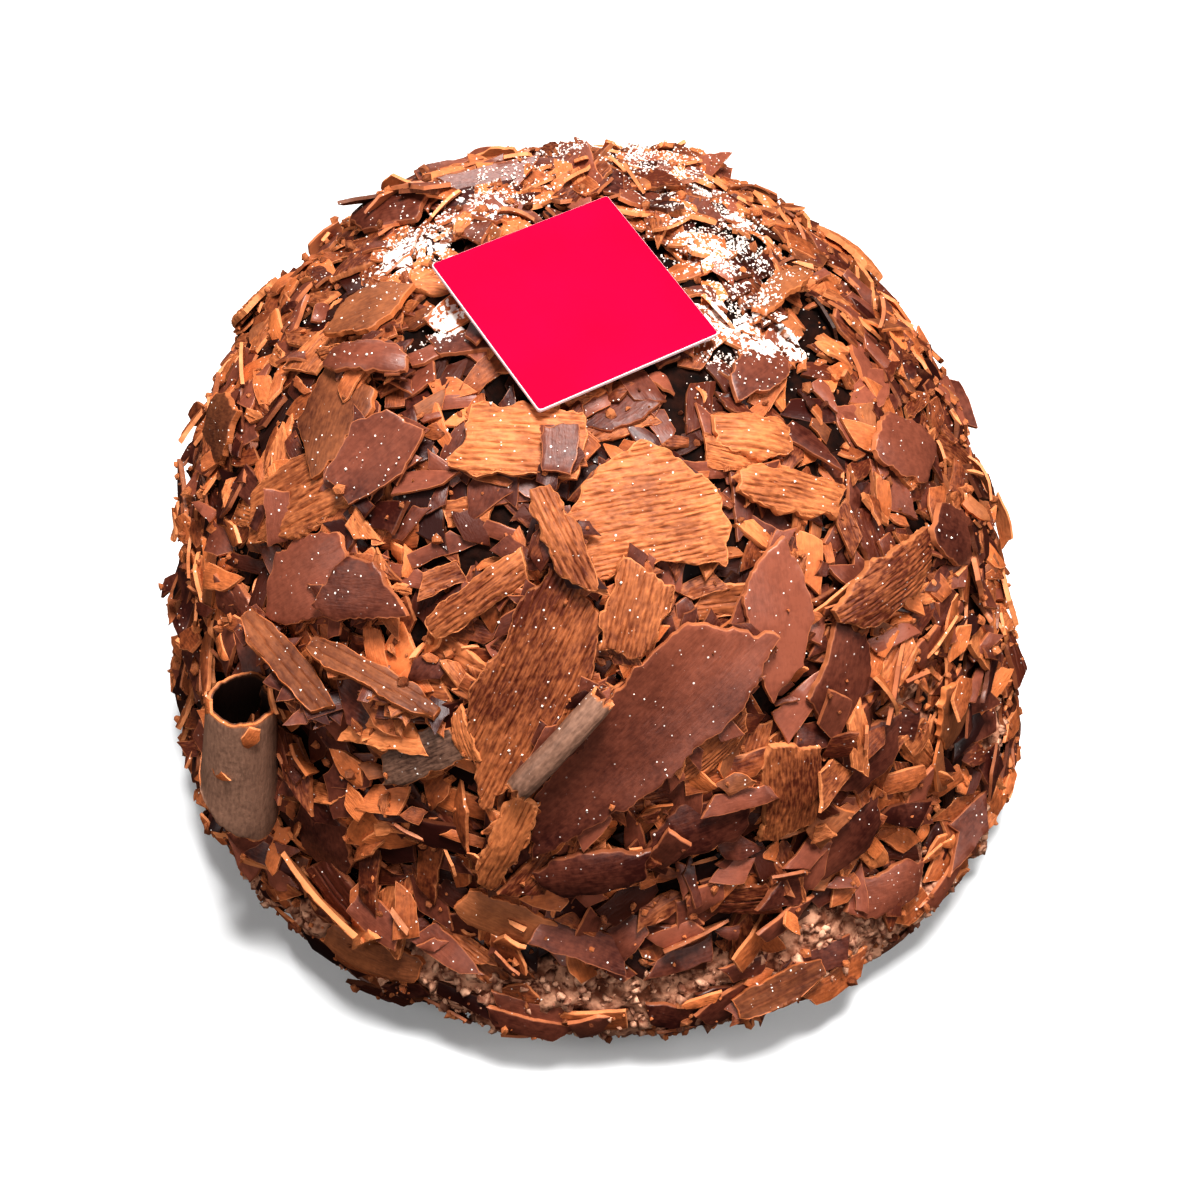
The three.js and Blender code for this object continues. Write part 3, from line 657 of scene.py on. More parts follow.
def makeSugarGroup():
    # icing sugar that has settled on what faces up, thickest round the card
    inputs = [
        ("Base", "Color"), ("Solid", "Vector"), ("Facing", "Vector"), ("Amount", "Float", 1.0),
        ("Sugar", "Color", srgb(246, 238, 230)),
    ]
    group, put, result = startGroup("sugarDust", inputs, [("Color", "Color"), ("Mask", "Float")])
    speck = noiseNode(group, put["Solid"], 1100.0, 2.0)
    cells = addNode(group, "ShaderNodeTexVoronoi", {"Vector": put["Solid"], "Scale": 950.0})
    chance = addNode(group, "ShaderNodeSeparateXYZ", {0: cells.outputs["Color"]}).outputs["X"]
    reach = spanNode(group, chance, 0.45, 1.0, 0.0, 0.2)
    dots = mathNode(group, "SUBTRACT", reach, cells.outputs["Distance"])
    dots = mathNode(group, "MULTIPLY", dots, 16.0, clamp=True)
    drift = noiseNode(group, put["Solid"], 55.0, 3.0)
    upward = addNode(group, "ShaderNodeSeparateXYZ", {0: put["Facing"]}).outputs["Z"]
    flat = addNode(group, "ShaderNodeVectorMath", {0: put["Solid"], 1: (1, 1, 0)}, operation="MULTIPLY")
    flat = flat.outputs[0]
    height = addNode(group, "ShaderNodeSeparateXYZ", {0: put["Solid"]}).outputs["Z"]
    thick = 0.0
    for x, y, reach in sugarDrifts:
        gap = addNode(group, "ShaderNodeVectorMath", {0: flat, 1: (x * mm, y * mm, 0)}, operation="DISTANCE")
        near = spanNode(group, gap.outputs["Value"], 0.4 * reach * mm, 1.5 * reach * mm, 1.0, 0.0)
        thick = mathNode(group, "MAXIMUM", near, thick)
    thick = mathNode(group, "MULTIPLY", thick, spanNode(group, drift, 0.34, 0.56))
    thick = mathNode(group, "MULTIPLY", thick, spanNode(group, height, 0.08, 0.1))
    limit = mathNode(group, "SUBTRACT", 0.78, mathNode(group, "MULTIPLY", thick, 0.4))
    grains = mathNode(group, "MULTIPLY", mathNode(group, "SUBTRACT", speck, limit), 14.0, clamp=True)
    lying = spanNode(group, upward, 0.2, 0.6)
    fallen = mathNode(group, "MAXIMUM", grains, dots)
    mask = mathNode(group, "MULTIPLY", mathNode(group, "MULTIPLY", fallen, lying), put["Amount"], clamp=True)
    group.links.new(mixColor(group, mask, put["Base"], put["Sugar"]), result.inputs["Color"])
    group.links.new(mask, result.inputs["Mask"])
    return group


chocolateGroup = makeChocolateGroup()
sugarGroup = makeSugarGroup()

finishes = {
    "smoothChocolate": {
        "dark": srgb(60, 24, 18), "light": srgb(144, 84, 64), "broken": srgb(188, 118, 80),
        "roughness": 0.4, "streaks": 0.12, "depth": 0.0001, "sugar": 1.0,
    },
    "groovedChocolate": {
        "dark": srgb(86, 36, 18), "light": srgb(204, 126, 78), "broken": srgb(214, 140, 92),
        "roughness": 0.6, "streaks": 0.4, "depth": 0.0002, "sugar": 1.0,
    },
    "paleChocolate": {
        "dark": srgb(82, 42, 27), "light": srgb(168, 104, 66), "broken": srgb(208, 126, 76),
        "roughness": 0.55, "streaks": 0.2, "depth": 0.00015, "sugar": 1.0,
    },
    "bloomedChocolate": {
        "dark": srgb(50, 30, 24), "light": srgb(158, 120, 100), "broken": srgb(206, 126, 76),
        "roughness": 0.5, "streaks": 0.3, "depth": 0.0002, "sugar": 0.6,
    },
    "milkChocolate": {
        "dark": srgb(82, 34, 18), "light": srgb(208, 122, 72), "broken": srgb(222, 146, 98),
        "roughness": 0.55, "streaks": 0.18, "depth": 0.00028, "sugar": 1.0,
    },
}


def makeChocolate(name):
    finish = finishes[name]
    material, tree, shader, solid = startFinish(name)
    given = {"Flat": addNode(tree, "ShaderNodeUVMap", uv_map="flake").outputs["UV"], "Solid": solid}
    for label in ("Tone", "Edge", "Hollow"):
        given[label] = readAttribute(tree, label.lower())
    for label in ("Dark", "Light", "Broken", "Streaks"):
        given[label] = finish[label.lower()]
    chocolate = addNode(tree, "ShaderNodeGroup", node_tree=chocolateGroup)
    sugar = addNode(tree, "ShaderNodeGroup", node_tree=sugarGroup)
    dusted = {
        "Base": chocolate.outputs["Color"], "Solid": solid, "Amount": finish["sugar"],
        "Facing": addNode(tree, "ShaderNodeNewGeometry").outputs["Normal"],
    }
    setInputs(tree, chocolate, given)
    setInputs(tree, sugar, dusted)
    rough = spanNode(tree, sugar.outputs["Mask"], 0, 1, finish["roughness"], 0.85)
    bumps = (chocolate.outputs["Height"], finish["depth"], 0.8)
    endFinish(tree, shader, sugar.outputs["Color"], rough, 0.3, bumps)
    return material


chocolates = {name: makeChocolate(name) for name in finishes}
slotFinish = {
    "shaving_smooth": chocolates["smoothChocolate"],
    "shaving_grooved": chocolates["groovedChocolate"],
    "shaving_pale": chocolates["paleChocolate"],
}
print("finishes made")


def addPiece(name, mesh, material, nodes):
    piece = newObject(name, mesh)
    mesh.materials.clear()
    mesh.materials.append(material)
    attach(piece, "root")
    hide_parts(*nodes)
    return piece


largeNodes = [node for node in sorted(nodeSlots) if node.startswith("shaving_")]
toneDraw = np.random.default_rng(5)
for number, node in enumerate(largeNodes):
    mesh = makeRoll(node, number) if node in rolls else makeLargeShaving(node, number)
    drawn = toneDraw.uniform(0.2, 0.7)
    if node in toneAndSheenRuns:
        # painted reflection: on the broad dark shaving the tone rises towards the upper end
        heights = np.array([vertex.co[2] for vertex in mesh.vertices])
        low, high = toneAndSheenRuns[node]
        setTone(mesh, low + (high - low) * ((heights - heights.min()) / np.ptp(heights)))
    elif node not in rolls:
        setTone(mesh, ownTones.get(node, drawn))
    finish = slotFinish[ownLooks.get(node, nodeSlots[node])]
    if node in bloomedNodes:
        finish = chocolates["bloomedChocolate"]
    addPiece(mesh.name, mesh, finish, [node])
print("large shavings made,", len(largeNodes))


# The card.

cardLook = {"corner": 0.5, "bevel": 0.12}
cardPlace = {}


def makeCard():
    points, triangles = readNode("card")
    centre = points.mean(0)
    first = points[0]
    gaps = points - first
    order = np.argsort(np.linalg.norm(gaps, axis=1))  # the nearest corner is across the card's thickness
    normal = unit(gaps[order[1]])
    normal = normal if normal[2] > 0 else -normal
    side = unit(gaps[order[2]] - normal * (gaps[order[2]] @ normal))
    place = np.array([side, np.cross(normal, side), normal])
    size = np.abs((points - centre) @ place.T).max(0)
    cardPlace.update({"axes": place, "centre": centre, "half": size[0]})
    corners = []
    for turn in range(4):
        middle = (size[:2] - cardLook["corner"]) * [1 if turn in (0, 3) else -1, 1 if turn in (0, 1) else -1]
        for step in range(4):
            angle = math.radians(90 * turn + 30 * step)
            corners.append(middle + cardLook["corner"] * np.array([math.cos(angle), math.sin(angle)]))
    outline = np.array(corners)
    count = len(outline)
    bevel = cardLook["bevel"]
    shrink = 1 - bevel / size[0]
    rings = [(shrink, size[2]), (1, size[2] - bevel), (1, bevel - size[2]), (shrink, -size[2])]
    sheet = [np.column_stack([outline * scale, np.full(count, height)]) for scale, height in rings]
    sheet = np.concatenate(sheet)
    faces = [tuple(range(count)), tuple(reversed(range(3 * count, 4 * count)))]
    for ring in range(3):
        for k in range(count):
            a, b = ring * count + k, ring * count + (k + 1) % count
            faces.append((a, a + count, b + count, b))
    mesh = newMesh("cardTag", sheet @ place + centre, faces)
    writeAttribute(mesh, "edge", [0.0] * 2 + [1.0] * (len(faces) - 2), domain="FACE")
    return mesh


def makeCardFinish():
    material, tree, shader, solid = startFinish("coatedCard")
    edge = readAttribute(tree, "edge")
    sheen = noiseNode(tree, solid, 60.0, 3.0)
    fibre = noiseNode(tree, solid, 900.0, 3.0)
    face = mixColor(tree, spanNode(tree, sheen, 0.3, 0.7), srgb(200, 0, 50), srgb(208, 0, 56))
    cut = mixColor(tree, fibre, srgb(236, 200, 204), srgb(250, 232, 230))
    rough = spanNode(tree, sheen, 0.2, 0.8, 0.5, 0.6)
    endFinish(tree, shader, mixColor(tree, edge, face, cut), rough, 0.04, (fibre, 0.00002, 0.5))
    return material


addPiece("cardTag", makeCard(), makeCardFinish(), ["card"])
print("card made")


# The core under the shavings.

core = {
    "inset": 2.0, "rings": 190, "spokes": 440, "lumps": 0.9, "lumpSize": 5, "grit": 0.4, "gritSize": 1.4,
    "creamGrit": 1.3, "creamGritSize": 2.6, "creamProud": 1.8, "crownReach": 20, "crownSunk": 1.6,
}


def makeCore():
    rings, spokes = core["rings"], core["spokes"]
    climbs = 100 * np.arange(rings) / rings
    radii, heights = outlineAt(climbs)
    angles = np.radians(np.arange(spokes) * 360 / spokes)
    radius, angle = np.meshgrid(radii, angles, indexing="ij")
    height = np.broadcast_to(heights[:, None], radius.shape)
    outward = np.stack([np.sin(angle), -np.cos(angle), np.zeros_like(angle)], -1)
    points = outward * radius[..., None]
    points[..., 0] += dome["crownLean"] * height / dome["height"]
    points[..., 2] = height
    steps = np.gradient(np.column_stack([radii, heights]), axis=0)
    tilt = np.arctan2(steps[:, 1], -steps[:, 0])[:, None, None]
    normal = outward * np.sin(tilt) + np.array([0, 0, 1.0]) * np.cos(tilt)
    relief = core["lumps"] * noiseAt(points, core["lumpSize"])
    relief += core["grit"] * noiseAt(points, core["gritSize"])
    cream = creamAt(points.reshape(-1, 3)).reshape(radius.shape)
    relief += core["creamGrit"] * cream * noiseAt(points, core["creamGritSize"], 7)
    relief += 0.5 * core["creamGrit"] * cream * np.abs(noiseAt(points, core["creamGritSize"] / 2, 17))
    relief += core["creamProud"] * cream
    relief = (relief - core["inset"]) * np.minimum(1, radius / core["crownReach"])
    relief -= core["crownSunk"] * (radius < core["crownReach"])
    relief[0] = -core["inset"]
    normal[0] = outward[0]
    points = points + normal * relief[..., None]
    points[0, :, 2] = 0
    points[1:, :, 2] = np.maximum(points[1:, :, 2], 0.2)
    top = np.array([[dome["crownLean"], 0, dome["height"] - core["inset"] - core["crownSunk"]]])
    allPoints = np.concatenate([points.reshape(-1, 3), top, [[0, 0, 0]]])
    faces = []
    for ring in range(rings - 1):
        for k in range(spokes):
            a, b = ring * spokes + k, ring * spokes + (k + 1) % spokes
            faces.append((a, b, b + spokes, a + spokes))
    crown, foot = rings * spokes, rings * spokes + 1
    for k in range(spokes):
        after = (k + 1) % spokes
        faces.append(((rings - 1) * spokes + k, (rings - 1) * spokes + after, crown))
        faces.append((after, k, foot))
    mesh = newMesh("crumbCoat", allPoints, faces)
    writeAttribute(mesh, "cream", np.concatenate([cream.ravel(), [0, 1]]))
    mesh.shade_smooth()
    return mesh


def makeCoatFinish():
    # painted shade: the coat is near black between the flakes, standing for the shade in the gaps; pale cream
    # low down
    material, tree, shader, solid = startFinish("crumbCoat")
    lumps = noiseNode(tree, solid, 420.0, 4.0)
    pitShadeNoise = noiseNode(tree, solid, 620.0, 3.0)
    shown = readAttribute(tree, "cream")
    # painted shade: the near black colour of the gaps between the flakes
    crumb = mixColor(tree, spanNode(tree, lumps, 0.35, 0.65), srgb(12, 5, 3), srgb(42, 18, 9))
    cream = mixColor(tree, spanNode(tree, lumps, 0.38, 0.6), srgb(120, 74, 54), srgb(204, 152, 124))
    # painted shade: dark spots stand for the shade in the pits of the cream
    pitShaded = mixColor(tree, spanNode(tree, pitShadeNoise, 0.34, 0.46), srgb(84, 46, 32), cream)
    share = spanNode(tree, mathNode(tree, "ADD", shown, spanNode(tree, lumps, 0.3, 0.7, -0.2, 0.2)), 0.3, 0.6)
    endFinish(tree, shader, mixColor(tree, share, crumb, pitShaded), 0.85, 0.15, (lumps, 0.0008, 0.9))
    return material


coatMesh = makeCore()
addPiece("crumbCoat", coatMesh, makeCoatFinish(), ["cake_body"])
print("core made")


# Libraries of small flakes.


def drawCorners(draw, length, width):
    # an angular outline of 4 to 6 corners: a slanted, lopsided strip, sometimes with a corner off
    skew, taper = draw.uniform(-0.45, 0.45, 2) * width, draw.uniform(0.45, 1.0, 2)
    corners = [(-length / 2 - skew[0], -width / 2 * taper[0]), (length / 2 - skew[1], -width / 2 * taper[1]),
               (length / 2 + skew[1], width / 2 * taper[1]), (-length / 2 + skew[0], width / 2 * taper[0])]
    for end, side in ((0, 1), (2, -1)):
        if draw.uniform() < 0.62:
            middle = draw.uniform(-0.3, 0.3) * length
            corner = (middle, -side * width / 2 * draw.uniform(0.85, 1.1))
            corners.insert(1 if end == 0 else len(corners) - 1, corner)
    return np.array(corners)


def flakeKind(finish, slot, variants, length, width, look):
    return {
        "finish": finish, "slot": slot, "variants": variants, "length": length, "width": width, "look": look,
    }


def smallLook(thickness, cell, step, roughness, relief=smoothRelief, **more):
    finer = {"underCell": (5, 5), "rimInset": 0.15, "chamfer": 0.08} | more
    return plateLook(thickness, cell, step, roughness, relief, **finer)


flakeKinds = {
    "darkFlakes": flakeKind(
        "smoothChocolate", "shaving_smooth", 14, (9, 14), (5.5, 9),
        smallLook(0.85, (1.6, 1.3), 0.8, 0.55, underCell=(4, 3), rimInset=0.18, chamfer=0.1)),
    "groovedFlakes": flakeKind(
        "groovedChocolate", "shaving_grooved", 12, (9, 14), (5, 8.5),
        smallLook(0.9, (1.3, 0.3), 0.7, 0.7, groovedRelief, underCell=(4, 3), rimInset=0.18, chamfer=0.1,
                  hollowDepth=0.24)),
    "darkShards": flakeKind(
        "smoothChocolate", "shaving_smooth", 16, (5.5, 11), (3.4, 6.4),
        smallLook(0.68, (2.6, 2.2), 1.3, 0.5)),
    "milkShards": flakeKind(
        "milkChocolate", "coat", 20, (5, 10.5), (2.8, 5.6),
        smallLook(0.66, (2.6, 2.2), 1.6, 0.55)),
    "groovedShards": flakeKind(
        "groovedChocolate", "shaving_grooved", 16, (5, 9), (3, 5),
        smallLook(0.75, (2.0, 0.4), 1.5, 0.6, groovedRelief, chamfer=0.1)),
    "paleShards": flakeKind(
        "paleChocolate", "shaving_pale", 12, (5, 10), (3, 5.5),
        smallLook(0.68, (2.6, 2.2), 1.3, 0.5)),
    "slivers": flakeKind(
        "milkChocolate", "coat", 14, (3.5, 7), (0.9, 1.9),
        smallLook(0.62, (2.5, 3), 1.6, 0.25, rimInset=0.0)),
}


def makeLibrary(name, kind, seed):
    draw = np.random.default_rng(seed)
    look = kind["look"]
    collection = bpy.data.collections.new(name + "Library")
    outlines = []
    while len(outlines) < kind["variants"]:
        length, width = draw.uniform(*kind["length"]), draw.uniform(*kind["width"])
        corners = drawCorners(draw, length, width)
        arch, cup, twist = draw.uniform([-0.15, -0.15, -0.2], [0.6, 0.3, 0.2])
        scale = np.array([2 / length, 2 / width])

        def middle(flat):
            shares = flat * scale
            return -arch * shares[:, 0] ** 2 - cup * shares[:, 1] ** 2 + twist * shares[:, 0] * shares[:, 1]

        number = seed * 3 + len(outlines)
        outline = breakEdge(corners, look["step"], look["roughness"], number)
        plate = makePlate(outline, middle, look, number)
        if plate is None:
            continue
        variant = f"{name}{len(outlines):02d}"
        mesh = plateMesh(variant, plate, flatOffset=(number * 13 % 97, number * 7 % 89))
        collection.objects.link(bpy.data.objects.new(variant, mesh))
        outlines.append(np.column_stack([corners, middle(corners) + look["thickness"] / 2]))
    return {"collection": collection, "outlines": outlines, "thickness": look["thickness"]}


libraries = {name: makeLibrary(name, kind, 40 + k) for k, (name, kind) in enumerate(flakeKinds.items())}
print("libraries made")


# Flakes are laid one layer on another.


class Heap:
    # what already lies on the dome, as surfaces that can be probed
    def __init__(self):
        self.points, self.faces, self.count = [], [], 0
        self.tree = None

    def add(self, points, faces):
        self.points.extend(points.tolist())
        self.faces.extend([tuple(corner + self.count for corner in face) for face in faces])
        self.count += len(points)

    def settle(self):
        self.tree = BVHTree.FromPolygons(self.points, self.faces)


def objectSurface(mesh):
    corners = np.empty(len(mesh.vertices) * 3, np.float32)
    mesh.vertices.foreach_get("co", corners)
    return corners.reshape(-1, 3) / mm, [tuple(polygon.vertices) for polygon in mesh.polygons]


largeHeap = Heap()
for node in largeNodes:
    points, triangles = readNode(node)
    largeHeap.add(points, triangles.tolist())
largeHeap.settle()
ground = Heap()
ground.add(*objectSurface(coatMesh))
ground.settle()
coreTree = ground.tree

laying = {
    "probeReach": 26.0,  # how far out a probe starts
    "shingle": 0.46,  # how much flakes on a steep side lean outwards, as a slope
    "shingleShares": (0.4, 1.2),
    "levelBelow": 24.0,  # flakes lower than this lie along the foot
    "tuckGap": 0.15,  # how far a tucked flake stays below the face of the shaving over it
    "sizeAtClimb": ((20, 45, 80), (1.1, 1, 0.84)),  # flakes are larger low down
    "stretch": (0.88, 1.12),  # how much one flake is stretched in each of its directions
    "thicknesses": (0.85, 1.1),  # least and largest scale of its thickness
    "tries": 3,  # places looked at for each flake, of which the lowest is taken
    "goldenTurn": 137.508,  # degrees from flake to flake, so that they lie evenly
    "turnsApart": 7,
    "turnSpread": (-4, 4),
    "aside": (-3, 3),  # how far beside its own place a flake is tried, in azimuth
    "upOrDown": (-1.5, 1.5),  # and how far below or above it, in climb
    "climbs": (0.8, 99.6),
    "footTurn": 0.45,  # radians that a flake along the foot may be off level
    "leanFrom": 25,  # height from which flakes lean out in full
    "edgeFrom": 30,  # height from which they stand on edge as often as the layer says
    "edgeLift": 0.25,  # how far that raises them, in half widths
    "edgeTurn": (30, 62),  # degrees that a flake on edge is turned up
    "skipCream": 0.9,  # share of the flakes left out where cream shows
    "offFloor": 0.9,
    "tone": (0.5, 0.3),
    "tones": (-0.6, 0.98),
    "lowShade": (0.1, 70),  # how much darker flakes are at the foot, and up to what height
}
probeShares = (-0.72, 0, 0.72)  # of half a flake's length and width
probes = np.array([(x, y) for x in probeShares for y in probeShares])

bedMix = {"milkShards": 4, "darkShards": 4, "groovedShards": 2}
shardMix = {"milkShards": 6, "darkShards": 4, "groovedShards": 2, "paleShards": 1}
topMix = {"milkShards": 6, "darkShards": 3, "groovedShards": 2}
layerWords = ("count", "kinds", "size", "steepest", "tilt", "highest", "over", "onEdge", "deep")
layerRows = [
    # places tried, kinds with their shares, size, steepest rest, loose tilt, highest, share over large
    # shavings, share on edge, and painted shade: how much darker flakes are for lying low in the heap
    (480, bedMix, (0.9, 1.25), 14, 6, 1.4, 0, 0.0, 0.8),
    (780, bedMix, (0.85, 1.2), 18, 8, 2.4, 0, 0.04, 0.5),
    (200, {"slivers": 1}, (0.6, 1.15), 38, 16, 3.2, 0.05, 0.0, 0.2),
    (260, {"darkFlakes": 5, "groovedFlakes": 4}, (0.75, 1.15), 24, 8, 3.6, 0.08, 0.0, 0.1),
    (1000, shardMix, (0.8, 1.2), 30, 12, 4.2, 0.06, 0.08, 0.1),
    (280, {"darkFlakes": 5, "groovedFlakes": 3}, (0.6, 1.0), 30, 12, 5.0, 0.1, 0.12, 0.0),
    (1000, shardMix, (0.6, 1.05), 36, 16, 5.0, 0.05, 0.1, 0.0),
    (120, {"slivers": 1}, (0.5, 0.9), 38, 16, 5.2, 0.05, 0.0, 0.0),
    (450, topMix, (0.35, 0.65), 40, 18, 5.4, 0.04, 0.08, 0.0),
]
layers = [dict(zip(layerWords, row)) for row in layerRows]
# the back of the crown is heaped higher
crownHeap = {
    "count": 300, "size": (0.75, 1.1), "steepest": 34, "tilt": 20, "highest": 8.2, "over": 0.6, "onEdge": 0.2,
    "kinds": {"milkShards": 5, "darkShards": 3, "groovedShards": 2, "darkFlakes": 1, "groovedFlakes": 1},
    "azimuth": (120, 240), "climb": (70, 92), "tallest": 123.6, "deep": 0.0,
}
clouds = {name: [] for name in flakeKinds}


def probe(tree, point, direction, sideways):
    reach = laying["probeReach"]
    hit = tree.ray_cast(Vector(point + sideways + direction * reach), Vector(-direction))
    return reach - hit[3] if hit[0] is not None else None


def eulerOf(turn):
    # turn holds a piece's three directions as rows
    return tuple(Matrix(turn.T.tolist()).to_euler("XYZ"))


def onCard(points, reach, under=0.5):
    # whether any of these points would lie on the card or stick up through it
    local = (np.atleast_2d(points) - cardPlace["centre"]) @ cardPlace["axes"].T
    beside = np.abs(local[:, :2]).max(1) < cardPlace["half"] + reach
    return bool((beside & (local[:, 2] > -under)).any())


def restPlate(draw, layer, place, halfLength, halfWidth, thickness, spin):
    # the height and slopes at which a plate comes to rest, or None where it doesn't fit
    point, normal, level, rise = place
    along = level * math.cos(spin) + rise * math.sin(spin)
    across = np.cross(normal, along)
    spots = probes * [halfLength, halfWidth]
    sideways = spots @ np.array([along, across])
    heights = [probe(ground.tree, point, normal, way) for way in sideways]
    if None in heights:
        return None
    heights = np.array(heights)
    roofs = np.array([probe(largeHeap.tree, point, normal, way) or math.inf for way in sideways])
    covered = np.isfinite(roofs)
    if covered.any() and draw.uniform() < layer["over"] * (1 if covered.all() else 3):
        heights = np.where(covered, np.maximum(heights, roofs), heights)
        roofs[:] = math.inf
    slopes = [(spots[:, k] * heights).sum() / (spots[:, k] ** 2).sum() for k in range(2)]
    limit = math.tan(math.radians(layer["steepest"]))
    loose = math.tan(math.radians(layer["tilt"]))
    slopes = [min(limit, max(-limit, slope)) + draw.uniform(-loose, loose) for slope in slopes]
    lean = laying["shingle"] * max(0, 1 - normal[2]) * draw.uniform(*laying["shingleShares"])
    lean *= min(1, point[2] / laying["leanFrom"])
    slopes = [slopes[0] - lean * (along @ rise), slopes[1] - lean * (across @ rise)]
    leaning = spots @ np.array(slopes)
    rest = np.sort(heights - leaning)[-2] + 0.1
    blocked = (rest + leaning + thickness > roofs - laying["tuckGap"]).any()
    if blocked or rest + thickness > layer["highest"]:
        return None
    return rest + thickness / 2, slopes, along, across, covered.any()


def layFlakes(layer, number):
    draw = np.random.default_rng(700 + number)
    names = list(layer["kinds"])
    weights = np.array([layer["kinds"][name] for name in names], float)
    weights /= weights.sum()
    laid = 0
    for k in range(layer["count"]):
        climb = float(climbOfArea((k + draw.uniform()) / layer["count"]))
        azimuth = k * laying["goldenTurn"] * laying["turnsApart"] + draw.uniform(*laying["turnSpread"])
        if "azimuth" in layer:
            climb, azimuth = draw.uniform(*layer["climb"]), draw.uniform(*layer["azimuth"])
        name = names[draw.choice(len(names), p=weights)]
        library = libraries[name]
        pick = int(draw.integers(len(library["outlines"])))
        size = draw.uniform(*layer["size"]) * draw.uniform(*laying["stretch"], 3)
        size = size * np.interp(climb, *laying["sizeAtClimb"])
        size[2] = np.clip(size[2], *laying["thicknesses"])
        outline = library["outlines"][pick] * size
        halfLength, halfWidth = np.abs(outline[:, 0]).max(), np.abs(outline[:, 1]).max()
        thickness = library["thickness"] * size[2]
        best = None
        if draw.uniform() < laying["skipCream"] * creamAt(domePlace(azimuth, climb)[0])[0]:
            continue
        for attempt in range(laying["tries"]):
            spin = draw.uniform(0, 2 * math.pi)
            aside, up = draw.uniform(*laying["aside"]), draw.uniform(*laying["upOrDown"])
            place = domePlace(azimuth + aside, float(np.clip(climb + up, *laying["climbs"])))
            if place[0][2] < laying["levelBelow"]:
                spin = spin % (2 * laying["footTurn"]) - laying["footTurn"]
            found = restPlate(draw, layer, place, halfLength, halfWidth, thickness, spin)
            if found and (best is None or found[0] < best[0][0]):
                best = (found, place[:2])
        if best is None:
            continue
        (height, slopes, along, across, covered), (point, normal) = best
        if draw.uniform() < layer["onEdge"] * min(1, point[2] / laying["edgeFrom"]) and not covered:
            roll = math.radians(draw.uniform(*laying["edgeTurn"])) * draw.choice([-1, 1])
            slopes = [slopes[0], math.tan(roll)]
            height += laying["edgeLift"] * halfWidth
        facing = unit(normal - along * slopes[0] - across * slopes[1])
        along = unit(along - facing * (along @ facing))
        across = np.cross(facing, along)
        turn = np.array([along, across, facing])
        centre = point + normal * height
        laidOutline = outline @ turn + centre
        low, high = laidOutline[:, 2].min(), laidOutline[:, 2].max()
        if low < thickness + laying["offFloor"] or high > crownHeap["tallest"]:
            continue
        between = (laidOutline + np.roll(laidOutline, 1, 0)) / 2
        if onCard(np.concatenate([laidOutline, between, [centre]]), 0.3, 0.5 + thickness):
            continue
        ground.add(laidOutline, [tuple(range(len(outline)))])
        # painted shade: flakes low in the heap and near the foot get a lower tone
        footShade, upTo = laying["lowShade"]
        shade = layer["deep"] + footShade * max(0, 1 - centre[2] / upTo)
        tone = float(np.clip(draw.normal(*laying["tone"]) - shade, *laying["tones"]))
        clouds[name].append((centre, eulerOf(turn), size, pick, tone))
        laid += 1
    ground.settle()
    return laid


for number, layer in enumerate(layers + [crownHeap]):
    print("layer", number + 1, "of flakes,", layFlakes(layer, number), "laid")

# flakes that fill the room under large shavings: area for each stack, step down, least room, size and
# kinds; under a roll they are smaller and lie along it
props = {
    "area": 11, "rollArea": 4, "step": 0.95, "room": 0.9, "deepest": 12, "size": (0.55, 0.85),
    "rollSize": 0.7, "kinds": ["milkShards", "darkShards", "groovedShards"], "tone": (0.3, 0.2),
    "tones": (-0.2, 0.8), "from": 16, "first": 0.5, "lastGap": 0.2, "lowest": 1.6,
}


def propUp(node, draw):
    points, triangles = readNode(node)
    tree = BVHTree.FromPolygons(points.tolist(), triangles.tolist())
    if node in rolls:
        outward = domePlace(rolls[node]["azimuth"], rolls[node]["climb"])[1]
    else:
        outward = readPlate(node)["place"][2]
    a, b, c = (points[triangles[:, k]] for k in range(3))
    facing = np.cross(b - a, c - a) / 2
    areas = np.maximum(0, facing @ outward)
    count = max(4, round(areas.sum() / props["rollArea" if node in rolls else "area"]))
    added = 0
    for k in draw.choice(len(areas), count, p=areas / areas.sum()):
        shares = draw.dirichlet((1, 1, 1))
        spot = shares @ points[triangles[k]]
        under, normal = tree.ray_cast(Vector(spot - outward * props["from"]), Vector(outward))[:2]
        if under is None:
            continue
        normal = np.array(normal) * math.copysign(1, np.array(normal) @ outward)
        normal = outward if node in rolls else normal
        lengthwise = unit(points[np.argmax(points[:, 2])] - points[np.argmin(points[:, 2])])
        under = np.array(under)
        hit = ground.tree.ray_cast(Vector(under - normal * 0.1), Vector(-normal))
        room = hit[3] if hit[0] is not None else 0
        depth = props["first"]
        while depth < min(room - props["lastGap"], props["deepest"]) and room > props["room"]:
            name = props["kinds"][int(draw.integers(len(props["kinds"])))]
            library = libraries[name]
            pick, spin = int(draw.integers(len(library["outlines"]))), draw.uniform(0, 2 * math.pi)
            size = np.full(3, draw.uniform(*props["size"]))
            side = unit(np.cross(normal, [0.3, 0.1, 1]))
            if node in rolls:
                side = unit(lengthwise - normal * (lengthwise @ normal))
                spin = 0.3 * (spin / math.pi - 1)
                size = props["rollSize"] * size
            along = side * math.cos(spin) + np.cross(normal, side) * math.sin(spin)
            turn = np.array([along, np.cross(normal, along), normal])
            centre = under - normal * depth
            laid = library["outlines"][pick] * size @ turn + centre
            if laid[:, 2].min() > props["lowest"] and not onCard(laid, 0.3, 1.2):
                ground.add(laid, [tuple(range(len(laid)))])
                # painted shade: flakes under the large shavings get a lower tone than flakes in the open
                tone = float(np.clip(draw.normal(*props["tone"]), *props["tones"]))
                clouds[name].append((centre, eulerOf(turn), size, pick, tone))
                added += 1
            depth += props["step"]
    ground.settle()
    return added


propDraw = np.random.default_rng(900)
propped = [propUp(node, propDraw) for node in largeNodes if node != "shaving_curl"]
print("flakes under large shavings,", sum(propped))

